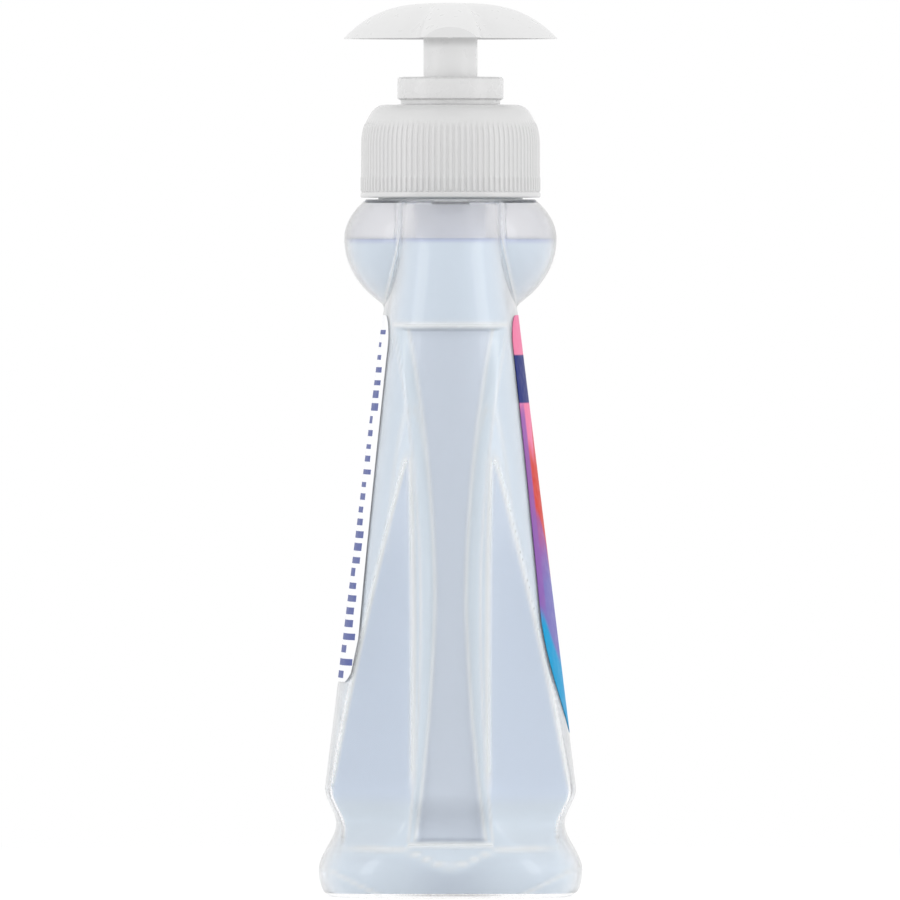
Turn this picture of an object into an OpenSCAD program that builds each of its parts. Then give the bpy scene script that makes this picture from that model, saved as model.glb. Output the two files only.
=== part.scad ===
// Clear hand soap bottle with a screw-on lotion pump.
// The origin is the centre of the base on the resting plane, +Z is up.
// The front label faces -Y, the wide axis of the bottle is X, and the spout points to -X.

/* [Bottle body] */
// Height from the base to the flat shoulder top under the neck
body_h = 148; // [130:1:170]
// Wall thickness of the blown body
wall = 0.8; // [0.5:0.1:1.4]
// Foot width, side to side
foot_w = 67; // [60:1:76]
// Foot depth, front to back
foot_d = 56.2; // [50:0.1:62]
// Height of the widest line of the foot
foot_z = 5.3; // [4:0.1:7]
// Inward rounding of the foot down to the base
foot_round = 2.4; // [1.5:0.1:3.5]
// Waist width above the foot
waist_w = 59.4; // [54:0.1:64]
// Waist depth above the foot
waist_d = 48.6; // [44:0.1:54]
// Height of the waist
waist_z = 15.3; // [12:0.1:18]
// Heel width, where the straight sides start
heel_w = 65; // [60:0.5:72]
// Heel depth
heel_d = 53.4; // [48:0.1:58]
// Height of the heel edge
heel_z = 22.8; // [20:0.1:28]
// Greatest body width, at the shoulders
shoulder_w = 71; // [66:0.5:78]
// How far under the shoulder top the greatest width lies
shoulder_drop = 36; // [30:1:44]
// Body depth where the ball shoulder starts
strap_d = 28.4; // [25:0.1:32]
// How far under the shoulder top the ball shoulder starts
strap_drop = 23.5; // [20:0.1:27]
// Width of the shoulder straps at the shoulder top
strap_top_w = 40; // [38.5:0.5:44]
// Depth of the shoulder straps at the shoulder top
strap_top_d = 24.2; // [20:0.1:27]
// Squareness of the body section
corner_power = 3; // [2.4:0.1:4]
// Diameter of the ball shoulder
ball_d = 45.2; // [40:0.1:48]
// How far under the shoulder top the ball is widest
ball_drop = 8.4; // [7:0.1:10]
// Vertical half height of the ball above its widest line
ball_rise = 13.9; // [12:0.1:16]
// Vertical half height of the ball below its widest line
ball_fall = 18; // [16:0.1:20]
// Height of the pushed-up middle of the base
push_up = 1.6; // [0.8:0.1:3]
// Thickness of the flat shoulder top
roof_t = 1; // [0.8:0.1:1.6]

/* [Side facets and grips] */
// Height where the corner facets run out in a point
facet_top = 94; // [80:1:105]
// Depth that the facets cut from the corners at the heel
facet_cut = 4.4; // [2:0.1:5.5]
// Depth of the side grips
grip_depth = 1.3; // [0.6:0.1:2]
// Width of the sloping edge round each grip
grip_bevel = 3; // [2:0.1:4]
// Grip width at its top end
grip_top_w = 23.8; // [18:0.1:26]
// Grip width at its narrowest
grip_mid_w = 12.6; // [9:0.1:15]
// Grip width at its bottom end
grip_low_w = 18; // [14:0.1:22]
// Height of the narrowest line of the grip
grip_mid_z = 62; // [50:1:75]
// Lower end of the grip
grip_low_z = 11.3; // [9:0.1:14]
// How far under the shoulder top the grip ends
grip_drop = 26.6; // [25:0.1:34]

/* [Neck] */
// Bore radius of the neck
bore_r = 13.3; // [12.8:0.1:13.8]
// Outer radius of the neck wall
neck_r = 15.4; // [15:0.1:15.8]
// Height of the neck over the shoulder top
neck_h = 16.3; // [15:0.1:19]
// Radial height of the neck thread
thread_h = 1.2; // [0.8:0.1:1.3]
// Rise of the thread in one turn
thread_lead = 4.23; // [3.6:0.01:4.6]
// Turns of thread on the neck
thread_turns = 1.5; // [1:0.25:1.5]

/* [Soap] */
// How far under the shoulder top the liquid stands
soap_drop = 8.6; // [6:0.1:20]

/* [Labels] */
// Width of both labels
label_w = 51; // [40:0.5:54]
// Upper edge of the front label under the shoulder top
label_drop = 24.6; // [24:0.1:34]
// Lower point of the front label
label_low = 34.5; // [28:0.5:50]
// Height over which the front label narrows to its point
label_point = 27.5; // [15:0.5:40]
// Lower edge of the back label
back_low = 45.5; // [30:0.5:70]
// Film thickness of the labels
label_t = 0.25; // [0.15:0.05:0.4]
// Corner radius of the labels
label_corner = 7; // [3:0.5:10]

/* [Closure] */
// Outer radius over the ribs
cap_r = 19.15; // [18.8:0.05:21]
// Gap between the closure skirt and the shoulder top
cap_gap = 0.4; // [0.3:0.1:1.5]
// Wall between the inner face and the ribs
cap_wall = 1.8; // [1.4:0.1:2]
// Depth of the ribs
rib_depth = 0.4; // [0.2:0.05:0.5]
// Number of ribs
rib_count = 94; // [48:2:110]
// How far under the closure top the ribs end
rib_drop = 3.4; // [2.5:0.1:6]
// Turns of thread in the closure
cap_turns = 1.25; // [1:0.25:1.5]
// Height of the plain lip under the ribs
cap_lip = 1; // [0.6:0.1:2]
// Thickness of the closure top
cap_top_t = 1.6; // [1.2:0.1:2.2]
// Width of the rounded edge of the closure, seen from above
cap_round_r = 4.55; // [3:0.05:5]
// Height of the rounded edge of the closure
cap_round_h = 8.6; // [5:0.1:9]

/* [Lock collar] */
// Outer radius of the lock collar
collar_r = 11.3; // [11:0.1:12.5]
// Height of the lock collar
collar_h = 5.75; // [5:0.05:8]
// Thickness of its top and side walls
collar_t = 1.2; // [1:0.1:1.3]
// Height of the narrower foot of the collar
collar_foot_h = 0.8; // [0.5:0.1:1.6]
// How far that foot is set back
collar_foot_in = 0.7; // [0.3:0.1:0.8]

/* [Pump] */
// Travel of the head
stroke = 7; // [5:0.1:7.2]
// Height left between the head and the collar when the head is down
head_rest_gap = 1.15; // [0.5:0.05:3]
// Inner radius of the housing
cyl_r = 8; // [7.6:0.1:8.2]
// Wall of the housing
cyl_wall = 1.15; // [0.9:0.05:1.3]
// Length of the housing cylinder under its flange
cyl_len = 27.8; // [26:0.1:34]
// Flange radius of the housing
flange_r = 14.6; // [14.3:0.1:14.9]
// Flange thickness
flange_t = 1.1; // [0.8:0.1:1.6]
// Thickness of the neck gasket
gasket_t = 1; // [0.6:0.1:1.6]
// Outer radius of the stem
stem_r = 3.5; // [3:0.1:3.8]
// Bore radius of the stem
stem_bore_r = 2.1; // [1.6:0.1:2.3]
// Height of the piston seal
seal_h = 5.7; // [4:0.1:6.5]
// Thickness of the rod's head
rod_head_t = 2; // [1.2:0.1:2.6]
// Wire radius of the return spring
wire_r = 0.45; // [0.35:0.05:0.5]
// Mean radius of the return spring
spring_r = 5; // [4:0.1:6]
// Turns of the return spring
spring_turns = 5.5; // [4:0.5:6]
// Radius of the check ball
ball_valve_r = 2.6; // [2:0.1:2.8]
// Lift of the check ball
ball_lift = 1.2; // [0.8:0.1:2]
// Thickness of the valve cage
cage_t = 1.2; // [0.8:0.1:2]
// Outer radius of the dip tube
dip_r = 2.45; // [2:0.05:2.8]
// Wall of the dip tube
dip_wall = 0.75; // [0.5:0.05:1]
// Gap between the end of the dip tube and the floor
dip_floor_gap = 3; // [2:0.5:12]
// Depth of the socket that holds the dip tube
dip_socket = 10; // [6:0.5:14]

/* [Head] */
// Half width of the head across the spout
head_half_w = 22.8; // [19:0.1:26]
// Reach of the head behind the stem
head_back = 17.5; // [14:0.5:21]
// Reach of the spout in front of the stem
spout_reach = 31; // [26:0.5:40]
// Half width of the spout
spout_half_w = 6.6; // [5.6:0.1:8]
// Half width of the flat nose at the tip of the spout
nose_half_w = 5.6; // [3:0.1:5.6]
// Height of the head from its rim to its crown
head_h = 7.6; // [7.3:0.1:10]
// Wall of the head
head_wall = 1.5; // [1:0.1:2]
// Fullness of the head's domed section
head_power = 3.2; // [2.6:0.1:3.6]
// Outer radius of the head's skirt
skirt_r = 5.75; // [5.4:0.05:6]
// Radius of the outlet channel
outlet_r = 1.2; // [0.8:0.1:1.3]

/* [Hidden] */

// Clearances
run_gap = 0.08;     // a shaft that turns or slides in its bore
slip_gap = 0.3;     // pieces that pass without touching
face_gap = 0.15;    // flat faces that turn against each other
seat_gap = 0.05;    // a piece pushed home in the same assembly
soap_gap = 0.15;    // liquid to the wall that holds it
film_gap = 0.1;     // label film to the wall that carries it
cut = 1;            // overrun of every cutter

// Resolution
around = 56;        // columns round the bottle
fine = 96;          // segments of turned pieces
thread_steps = 24;  // rings in one turn of thread
spring_steps = 16;  // rings in one turn of the spring
wire_sides = 6;     // sides of the spring wire
side_crowd = 9;     // degrees that the columns crowd towards the grips

// Heights worked out from the body
shoulder_z = body_h - shoulder_drop;
strap_z = body_h - strap_drop;
ball_z = body_h - ball_drop;
grip_top_z = body_h - grip_drop;
soap_z = body_h - soap_drop;
neck_top = body_h + neck_h;
floor_extra = 0.4;      // the floor is thicker than the wall by this
floor_t = wall + floor_extra;

// Heights of the pump stack
gasket_z = neck_top;
flange_z = gasket_z + gasket_t;
cap_under = flange_z + flange_t + face_gap;
cap_top = cap_under + cap_top_t;
collar_z = cap_top + face_gap;
collar_top = collar_z + collar_h;
rim_z = collar_top + stroke + head_rest_gap;
cyl_floor = flange_z - cyl_len;
cage_top = cyl_floor + cage_t;

// Radii of the pump stack
cyl_out = cyl_r + cyl_wall;
hub_wall = 0.55;        // the hub stands out from the cylinder by this
hub_r = cyl_out + hub_wall;
cap_hole_r = hub_r + slip_gap;
cap_in = cap_r - rib_depth - cap_wall;
skirt_in = stem_r + 1.3;
sleeve_in = skirt_r + 0.2;
thread_root_h = 1.6;
thread_tip_h = 0.8;
thread_drop = 7;        // start of the neck thread over the shoulder top
bite = 0.4;
collar_edge = 0.4;

// Stem, seal and rod, from the top down
skirt_low = collar_top - 2.8;
sleeve_low = flange_z - 1.5;
stem_flange_r = 5.3;
stem_flange_t = 0.8;
stem_flange_top = sleeve_low - 0.2;
stem_flange_z = stem_flange_top - stem_flange_t;
seal_top = stem_flange_z - face_gap;
seal_z = seal_top - seal_h;
rod_top = seal_z - face_gap;
rod_z = rod_top - rod_head_t;
rod_head_r = 5.9;
rod_plug = 3;
tube_wall = 0.8;        // wall of the outlet tube under the head
tube_r = outlet_r + tube_wall;
channel_z = rim_z + tube_r;
stem_top = channel_z;

// Inlet valve and dip tube socket, from the cage down
seat_angle = 43.5;
inlet_r = 1.5;
chamber_r = ball_valve_r + 0.8;
chamber_wall = 1.2;
cage_pin = 2.2;
ball_top = cage_top - cage_t - cage_pin - ball_lift - run_gap;
ball_c = ball_top - ball_valve_r;
seat_apex = ball_c - (ball_valve_r + run_gap) / sin(seat_angle);
seat_low = seat_apex + inlet_r / tan(seat_angle);
seat_high = seat_apex + chamber_r / tan(seat_angle);
inlet_len = 1.4;
socket_top = seat_low - inlet_len;
socket_low = socket_top - dip_socket;
socket_wall = 1.1;
socket_r = dip_r + socket_wall;
dip_top = socket_top - seat_gap;
dip_low = floor_t + push_up + dip_floor_gap;

// Colours
clear_plastic = [0.86, 0.90, 0.94, 0.45];
soap_blue = [0.80, 0.84, 0.92, 0.75];
white_plastic = [0.90, 0.90, 0.91];

// Plain helpers
function mix(a, b, t) = a + (b - a) * t;
function ease(t) = t * t * (3 - 2 * t);
function unit(t) = min(1, max(0, t));
function arc(t) = sqrt(max(0, 1 - t * t));
function steps(a, b, n) = [for (i = [0 : n - 1]) mix(a, b, i / n)];

// Soft maximum of two lengths, rounded over a blend length
function soft_max(a, b, blend) =
    let (h = unit(0.5 + 0.5 * (a - b) / blend)) mix(b, a, h) + blend * h * (1 - h);

// Closed surface over a stack of rings with equally many points, capped at both ends.
// lean picks the diagonal that splits each four-sided face.
module skin(rings, lean = false) {
    n = len(rings[0]);
    last = len(rings) - 1;
    faces = concat(
        [[for (c = [0 : n - 1]) c]],
        [for (r = [0 : last - 1], c = [0 : n - 1], half = [0, 1])
            let (a = r * n + c, b = r * n + (c + 1) % n)
            lean ? (half == 0 ? [a, a + n, b] : [b, a + n, b + n])
            : (half == 0 ? [a, a + n, b + n] : [a, b + n, b])],
        [[for (c = [n - 1 : -1 : 0]) last * n + c]]
    );
    polyhedron(points = [for (ring = rings, p = ring) p], faces = faces, convexity = 10);
}

// Turned ring or tube from z to z + h
module tube(outer, inner, z, h) {
    translate([0, 0, z])
        difference() {
            cylinder(r = outer, h = h, $fn = fine);
            translate([0, 0, -cut]) cylinder(r = inner, h = h + 2 * cut, $fn = fine);
        }
}

// Ridge that climbs round the axis: its foot at root_r, its crest at tip_r, thinned out at both ends
module helix_ridge(root_r, tip_r, z, turns) {
    count = round(turns * thread_steps);
    skin([for (i = [0 : count])
        let (
            angle = 360 * turns * i / count,
            fade = unit(min(i, count - i) / (thread_steps / 6)),
            crest = mix(root_r, tip_r, 0.25 + 0.75 * fade),
            up = z + thread_lead * angle / 360,
            foot = thread_root_h / 2,
            top = thread_tip_h / 2,
            section = tip_r > root_r
                ? [[root_r, -foot], [root_r, foot], [crest, top], [crest, -top]]
                : [[root_r, foot], [root_r, -foot], [crest, -top], [crest, top]]
        )
        [for (p = section) [p[0] * cos(angle), p[0] * sin(angle), up + p[1]]]]);
}

// Half size of the foot, waist and heel at height z
function low_half(z, foot, waist, heel) =
    z < foot_z ? foot - foot_round * (1 - arc(1 - z / foot_z))
    : z < waist_z ? mix(foot, waist, ease((z - foot_z) / (waist_z - foot_z)))
    : mix(waist, heel, ease((z - waist_z) / (heel_z - waist_z)));

// Half width of the body at height z: straight sides, then a rounded shoulder
function half_width(z) =
    z < heel_z ? low_half(z, foot_w / 2, waist_w / 2, heel_w / 2)
    : z < shoulder_z ? mix(heel_w / 2, shoulder_w / 2, sin(90 * (z - heel_z) / (shoulder_z - heel_z)))
    : mix(strap_top_w / 2, shoulder_w / 2, arc((z - shoulder_z) / (body_h - shoulder_z)));

// Half depth of the body at height z: one straight taper from the heel to the straps
function half_depth(z) =
    z < heel_z ? low_half(z, foot_d / 2, waist_d / 2, heel_d / 2)
    : z < strap_z ? mix(heel_d / 2, strap_d / 2, (z - heel_z) / (strap_z - heel_z))
    : mix(strap_top_d / 2, strap_d / 2, pow(1 - (z - strap_z) / (body_h - strap_z), 2));

// Radius of the ball shoulder at height z
function ball_radius(z) =
    ball_d / 2 * arc((z - ball_z) / (z > ball_z ? ball_rise : ball_fall));

// Direction of a corner facet, and how deep it cuts the rounded corner
facet_turn_top = 30;
facet_turn_low = 44;
function facet_turn(z) =
    mix(facet_turn_low, facet_turn_top, unit((z - heel_z) / (facet_top - heel_z)));
function facet_depth(z) =
    z > heel_z ? facet_cut * pow(unit((facet_top - z) / (facet_top - heel_z)), 1.6)
    : facet_cut * ease(unit((z - foot_z) / (heel_z - foot_z)));

// Distance of a facet plane from the axis
function facet_plane(z, w, d) =
    let (q = corner_power / (corner_power - 1), turn = facet_turn(z))
    pow(pow(w * cos(turn), q) + pow(d * sin(turn), q), 1 / q) - facet_depth(z);

// Radius of the body section in a direction: a squared oval, cut by the facets, or the ball
function body_radius(angle, z, inset) =
    let (
        w = half_width(z) - inset,
        d = half_depth(z) - inset,
        p = corner_power,
        oval = pow(pow(abs(cos(angle)) / w, p) + pow(abs(sin(angle)) / d, p), -1 / p),
        off_axis = acos(min(1, abs(cos(angle)))),
        facet = facet_plane(z, w, d) / cos(off_axis - facet_turn(z))
    )
    max(min(oval, facet), ball_radius(z) - inset);

// Half width of the grip at height z, and how deep it is at a distance from its middle line
function grip_half(z) =
    z > grip_mid_z
    ? mix(grip_mid_w / 2, grip_top_w / 2, pow((z - grip_mid_z) / (grip_top_z - grip_mid_z), 1.9))
    : mix(grip_mid_w / 2, grip_low_w / 2, pow((grip_mid_z - z) / (grip_mid_z - grip_low_z), 2));
function grip_sink(z, y) =
    z <= grip_low_z || z >= grip_top_z ? 0
    : grip_depth
        * unit((grip_half(z) - abs(y)) / grip_bevel)
        * unit((z - grip_low_z) / (grip_bevel / 2))
        * unit((grip_top_z - z) / (grip_bevel / 2));

// One ring of the body at height z, inset from the outer face and scaled for the base
function column_angle(c) = let (u = 360 * c / around) u - side_crowd * sin(2 * u);
function body_ring(z, inset, share = 1, lift = 0) =
    [for (c = [0 : around - 1])
        let (
            angle = column_angle(c),
            r = body_radius(angle, z, inset) * share,
            x = r * cos(angle),
            y = r * sin(angle)
        )
        [x - sign(x) * grip_sink(z, y), y, z + lift]];
function round_ring(r, z) =
    [for (c = [0 : around - 1]) [r * cos(column_angle(c)), r * sin(column_angle(c)), z]];

// Heights at which the body section is drawn
body_levels = concat(
    steps(0, foot_z, 3), steps(foot_z, grip_low_z, 2), steps(grip_low_z, grip_low_z + grip_bevel / 2, 1),
    steps(grip_low_z + grip_bevel / 2, heel_z, 4), steps(heel_z, facet_top, 7),
    steps(facet_top, grip_top_z - grip_bevel / 2, 3), [grip_top_z - grip_bevel / 2, grip_top_z],
    steps(strap_z, ball_z, 6), steps(ball_z, body_h, 4), [body_h]
);
inner_top = body_h - roof_t;
inner_levels = concat(
    steps(floor_t, foot_z, 1), steps(foot_z, heel_z, 5), steps(heel_z, facet_top, 6),
    steps(facet_top, grip_top_z - grip_bevel / 2, 2), [grip_top_z - grip_bevel / 2, grip_top_z],
    steps(strap_z, ball_z, 5), steps(ball_z, inner_top, 3), [inner_top]
);
function backwards(v) = [for (i = [len(v) - 1 : -1 : 0]) v[i]];

// Resting ring of the base, then its pushed-up middle
base_ring = 0.8;
base_rise = 0.55;
base_mid = 0.2;
rise_share = 0.8;       // share of the push-up at the middle ring

// Closed floor rings of the cavity, or of the liquid in it, from the middle outwards
function floor_rings(z, inset) = [
    body_ring(z, inset, base_mid, push_up),
    body_ring(z, inset, base_rise, push_up * rise_share),
    body_ring(z, inset, base_ring)
];

module bottle() {
    seam_r = (bore_r + neck_r) / 2;
    thread_z = body_h + thread_drop;
    color(clear_plastic)
        difference() {
            union() {
                skin(concat(
                    [
                        body_ring(0, 0, base_mid, push_up),
                        body_ring(0, 0, base_rise, push_up * rise_share),
                        body_ring(0, 0, base_ring)
                    ],
                    [for (z = body_levels) body_ring(z, 0)],
                    [round_ring(seam_r, body_h), round_ring(seam_r, inner_top)],
                    backwards([for (z = inner_levels) body_ring(z, wall)]),
                    backwards(floor_rings(floor_t, wall))
                ));
                translate([0, 0, inner_top - bite])
                    cylinder(r = neck_r, h = neck_top - inner_top + bite, $fn = fine);
                helix_ridge(neck_r - bite, neck_r + thread_h, thread_z, thread_turns);
            }
            translate([0, 0, inner_top - 2 * cut])
                cylinder(r = bore_r, h = neck_h + 4 * cut, $fn = fine);
        }
}

// Liquid: the cavity up to its level, less the room that the pump and dip tube take
module liquid_soap() {
    inset = wall + soap_gap;
    low = floor_t + soap_gap;
    levels = concat([for (z = inner_levels) if (z > foot_z - 0.01 && z < soap_z - 1) z], [soap_z]);
    color(soap_blue)
        difference() {
            skin(concat(
                floor_rings(low, inset),
                [body_ring(low, inset)],
                [for (z = levels) body_ring(z, inset)]
            ), true);
            translate([0, 0, cyl_floor - cyl_wall - slip_gap])
                cylinder(r = cyl_out + slip_gap, h = body_h, $fn = fine);
            translate([0, 0, socket_low - slip_gap])
                cylinder(r = chamber_r + chamber_wall + slip_gap, h = body_h, $fn = fine);
            translate([0, 0, dip_low - slip_gap])
                cylinder(r = dip_r + slip_gap, h = body_h, $fn = fine);
        }
}

// Depth of the rounded front face, and of the facet plane, at a distance from the middle line
function oval_depth(x, z) =
    half_depth(z) * pow(max(0, 1 - pow(abs(x) / half_width(z), corner_power)), 1 / corner_power);
function facet_line(x, z) =
    (facet_plane(z, half_width(z), half_depth(z)) - abs(x) * cos(facet_turn(z))) / sin(facet_turn(z));

// Distance at which the facet starts, found by halving the span between near and far
function panel_edge(z, near, far, turns_left = 14) =
    let (middle = (near + far) / 2)
    turns_left == 0 ? near
    : facet_line(middle, z) > oval_depth(middle, z) ? panel_edge(z, middle, far, turns_left - 1)
    : panel_edge(z, near, middle, turns_left - 1);

// Half width of a label: rounded upper corners, a rounded or pointed lower end, and no wider
// than the face between the facets
label_top = body_h - label_drop;
label_margin = 0.6;
label_tip = 0.15;       // the lowest row lies this far over the edge, where it has a width
label_columns = 20;
label_rows = 14;
function round_off(depth) = depth > 0 ? label_corner * (1 - arc(min(1, depth / label_corner))) : 0;
function label_half(z, low, point) =
    min(
        label_w / 2 * (point > 0 ? arc(unit((low + point - z) / point)) : 1)
            - round_off(z - label_top + label_corner)
            - (point > 0 ? 0 : round_off(low + label_corner - z)),
        z > facet_top ? label_w : panel_edge(z, 0, half_width(z) * 0.85) - label_margin
    );

// Film on the front face: a thin skin that follows the face
module label(low, point) {
    skin([for (i = [0 : label_rows])
        let (
            z = mix(low + label_tip, label_top, 0.5 - 0.5 * cos(180 * i / label_rows)),
            half = label_half(z, low, point)
        )
        concat(
            [for (k = [0 : label_columns])
                let (x = half * sin(180 * k / label_columns - 90)) [x, -oval_depth(x, z) - film_gap - label_t, z]],
            [for (k = [label_columns : -1 : 0])
                let (x = half * sin(180 * k / label_columns - 90)) [x, -oval_depth(x, z) - film_gap, z]]
        )]);
}

module front_label() {
    color([0.93, 0.45, 0.66]) label(label_low, label_point);
}

module back_label() {
    color([0.95, 0.96, 0.98]) rotate([0, 0, 180]) label(back_low, 0);
}

// Outline of a ring of ribs: flat crests and flat valleys, at these shares of a rib's step
rib_shares = [-0.3, -0.16, 0.16, 0.3];
function rib_outline(crest, valley) =
    [for (i = [0 : rib_count - 1], k = [0 : 3])
        let (
            step = 360 / rib_count,
            angle = i * step + rib_shares[k] * step,
            r = k == 0 || k == 3 ? valley : crest
        )
        [r * cos(angle), r * sin(angle)]];

// Rounded shoulder of the closure, from its straight wall to its flat top
dome_steps = 10;
dome_z = cap_top - cap_round_h;
function cap_outline(out) = concat(
    [[0, body_h + cap_gap], [out, body_h + cap_gap]],
    [for (i = [0 : dome_steps])
        let (t = 90 * i / dome_steps)
        [out - cap_round_r + cap_round_r * cos(t), dome_z + cap_round_h * sin(t)]],
    [[0, cap_top]]
);

module closure() {
    skirt_low_z = body_h + cap_gap;
    core_r = cap_r - rib_depth;
    rib_top = cap_top - rib_drop;
    thread_z = body_h + thread_drop - (thread_root_h + thread_tip_h) / 2 - slip_gap;
    under_round = cap_in - flange_r - slip_gap;
    over_r = cap_r + slip_gap;
    color(white_plastic)
        difference() {
            union() {
                difference() {
                    union() {
                        rotate_extrude($fn = fine) polygon(cap_outline(core_r));
                        intersection() {
                            rotate_extrude($fn = fine) polygon(cap_outline(cap_r));
                            union() {
                                translate([0, 0, skirt_low_z - cut])
                                    cylinder(r = over_r, h = cap_lip + cut, $fn = fine);
                                translate([0, 0, skirt_low_z + cap_lip / 2])
                                    linear_extrude(rib_top - skirt_low_z - cap_lip / 2)
                                        polygon(rib_outline(over_r, core_r - bite));
                            }
                        }
                    }
                    rotate_extrude($fn = fine)
                        polygon(concat(
                            [[0, skirt_low_z - cut], [cap_in, skirt_low_z - cut]],
                            [for (i = [0 : dome_steps])
                                let (t = 90 * i / dome_steps)
                                [
                                    cap_in - under_round * (1 - cos(t)),
                                    dome_z + (cap_under - dome_z) * sin(t)
                                ]],
                            [[0, cap_under]]
                        ));
                }
                helix_ridge(cap_in + bite, neck_r + slip_gap, thread_z, cap_turns);
            }
            translate([0, 0, cap_under - cut]) cylinder(r = cap_hole_r, h = cap_top_t + 2 * cut, $fn = fine);
        }
}

// Ring on the closure, with the sleeve that guides the skirt of the head
module lock_collar() {
    inner_r = hub_r + seat_gap;
    key_slot = 1.2;
    color(white_plastic)
        difference() {
            rotate_extrude($fn = fine)
                polygon([
                    [sleeve_in, sleeve_low],
                    [cyl_r - seat_gap, sleeve_low],
                    [cyl_r - seat_gap, collar_top - collar_t],
                    [inner_r, collar_top - collar_t],
                    [inner_r, collar_z],
                    [collar_r - collar_foot_in, collar_z],
                    [collar_r - collar_foot_in, collar_z + collar_foot_h],
                    [collar_r, collar_z + collar_foot_h + collar_edge],
                    [collar_r, collar_top - collar_edge],
                    [collar_r - collar_edge, collar_top],
                    [sleeve_in, collar_top]
                ]);
            for (i = [0 : 1])
                rotate([0, 0, 180 * i])
                    translate([sleeve_in - cut, -key_slot / 2, collar_top - collar_t / 2])
                        cube([cut + key_slot, key_slot, collar_t]);
        }
}

// Plan of the head: an oval, blended into a narrow round-ended spout towards -X
function head_reach(angle) =
    let (
        forward = -cos(angle),
        across = abs(sin(angle)),
        oval = 1 / sqrt(pow(forward / head_back, 2) + pow(across / head_half_w, 2)),
        tip = spout_reach - spout_half_w,
        side = forward > 0 ? spout_half_w / max(across, 0.001) : 0,
        nose = forward > 0 ? tip * forward + sqrt(max(0, pow(spout_half_w, 2) - pow(tip * across, 2))) : 0,
        spout = forward > 0 && tip * across < spout_half_w && nose * forward > tip ? nose : side
    )
    soft_max(oval, min(spout, spout_reach), head_blend);
function dome(t) = 1 - pow(t, head_power);
head_columns = 60;
head_crowd = 12;        // degrees that the columns crowd towards the spout
head_blend = 7;         // length over which the oval and the spout flow together
head_shares = [0.06, 0.3, 0.46, 0.58, 0.68, 0.77, 0.85, 0.93, 1];
nose_x = spout_reach - spout_half_w + sqrt(spout_half_w * spout_half_w - nose_half_w * nose_half_w);

// One ring of the head's shell at a share of its reach
function head_ring(share, inset, height) =
    [for (c = [0 : head_columns - 1])
        let (
            u = 360 * c / head_columns,
            angle = 180 + u - head_crowd * sin(u),
            r = (head_reach(angle) - inset) * share
        )
        [max(r * cos(angle), inset - nose_x), r * sin(angle), rim_z + height * dome(share)]];

module pump_head() {
    inner_h = head_h - head_wall;
    outlet_x = spout_reach * pow(1 - 2 * tube_r / head_h, 1 / head_power) - slip_gap;
    counterbore_h = 4;
    color(white_plastic)
        difference() {
            union() {
                skin(concat(
                    [for (share = head_shares) head_ring(share, head_wall, inner_h)],
                    backwards([for (share = head_shares) head_ring(share, 0, head_h)])
                ));
                translate([0, 0, skirt_low])
                    cylinder(r = skirt_r, h = rim_z + inner_h - skirt_low, $fn = fine);
                translate([0, 0, channel_z])
                    rotate([0, -90, 0]) cylinder(r = tube_r, h = outlet_x, $fn = fine);
            }
            translate([0, 0, skirt_low - cut])
                cylinder(r = stem_r + seat_gap, h = stem_top + seat_gap - skirt_low + cut, $fn = fine);
            translate([0, 0, skirt_low - cut])
                cylinder(r = skirt_in, h = counterbore_h + cut, $fn = fine);
            translate([0, 0, channel_z])
                rotate([0, -90, 0]) cylinder(r = outlet_r, h = outlet_x - tube_wall, $fn = fine);
            translate([tube_r - outlet_x, 0, rim_z - cut])
                cylinder(r = outlet_r, h = channel_z - rim_z + cut, $fn = fine);
        }
}

// Housing: flange, hub through the closure, cylinder, ball chamber and dip tube socket
module pump_housing() {
    chamber_out = chamber_r + chamber_wall;
    bowl_h = 2.15;
    seat_wall = 0.6;
    color(white_plastic)
        rotate_extrude($fn = fine)
            polygon([
                [cyl_r, cyl_floor],
                [cyl_r, collar_top - collar_t - seat_gap],
                [hub_r, collar_top - collar_t - seat_gap],
                [hub_r, flange_z + flange_t],
                [flange_r, flange_z + flange_t],
                [flange_r, flange_z],
                [cyl_out, flange_z],
                [cyl_out, cyl_floor + bowl_h - cyl_wall],
                [cyl_out - bowl_h, cyl_floor - cyl_wall],
                [chamber_out, cyl_floor - cyl_wall],
                [chamber_out, seat_low - seat_wall],
                [socket_r, seat_low - seat_wall - (chamber_out - socket_r)],
                [socket_r, socket_low],
                [dip_r + seat_gap, socket_low],
                [dip_r + seat_gap, socket_top],
                [inlet_r, socket_top],
                [inlet_r, seat_low],
                [chamber_r, seat_high],
                [chamber_r, cyl_floor]
            ]);
}

module neck_gasket() {
    overlap = 0.15;
    color([0.80, 0.82, 0.84]) tube(neck_r - overlap, bore_r + overlap, gasket_z, gasket_t);
}

module pump_stem() {
    port_r = 0.9;
    color([0.88, 0.88, 0.90])
        difference() {
            union() {
                translate([0, 0, rod_top]) cylinder(r = stem_r, h = stem_top - rod_top, $fn = fine);
                translate([0, 0, stem_flange_z]) cylinder(r = stem_flange_r, h = stem_flange_t, $fn = fine);
            }
            translate([0, 0, rod_top - cut])
                cylinder(r = stem_bore_r, h = stem_top - rod_top + 2 * cut, $fn = fine);
            translate([-stem_r - cut, 0, rod_top + rod_plug + port_r + 0.2])
                rotate([0, 90, 0]) cylinder(r = port_r, h = 2 * (stem_r + cut), $fn = fine);
        }
}

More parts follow.
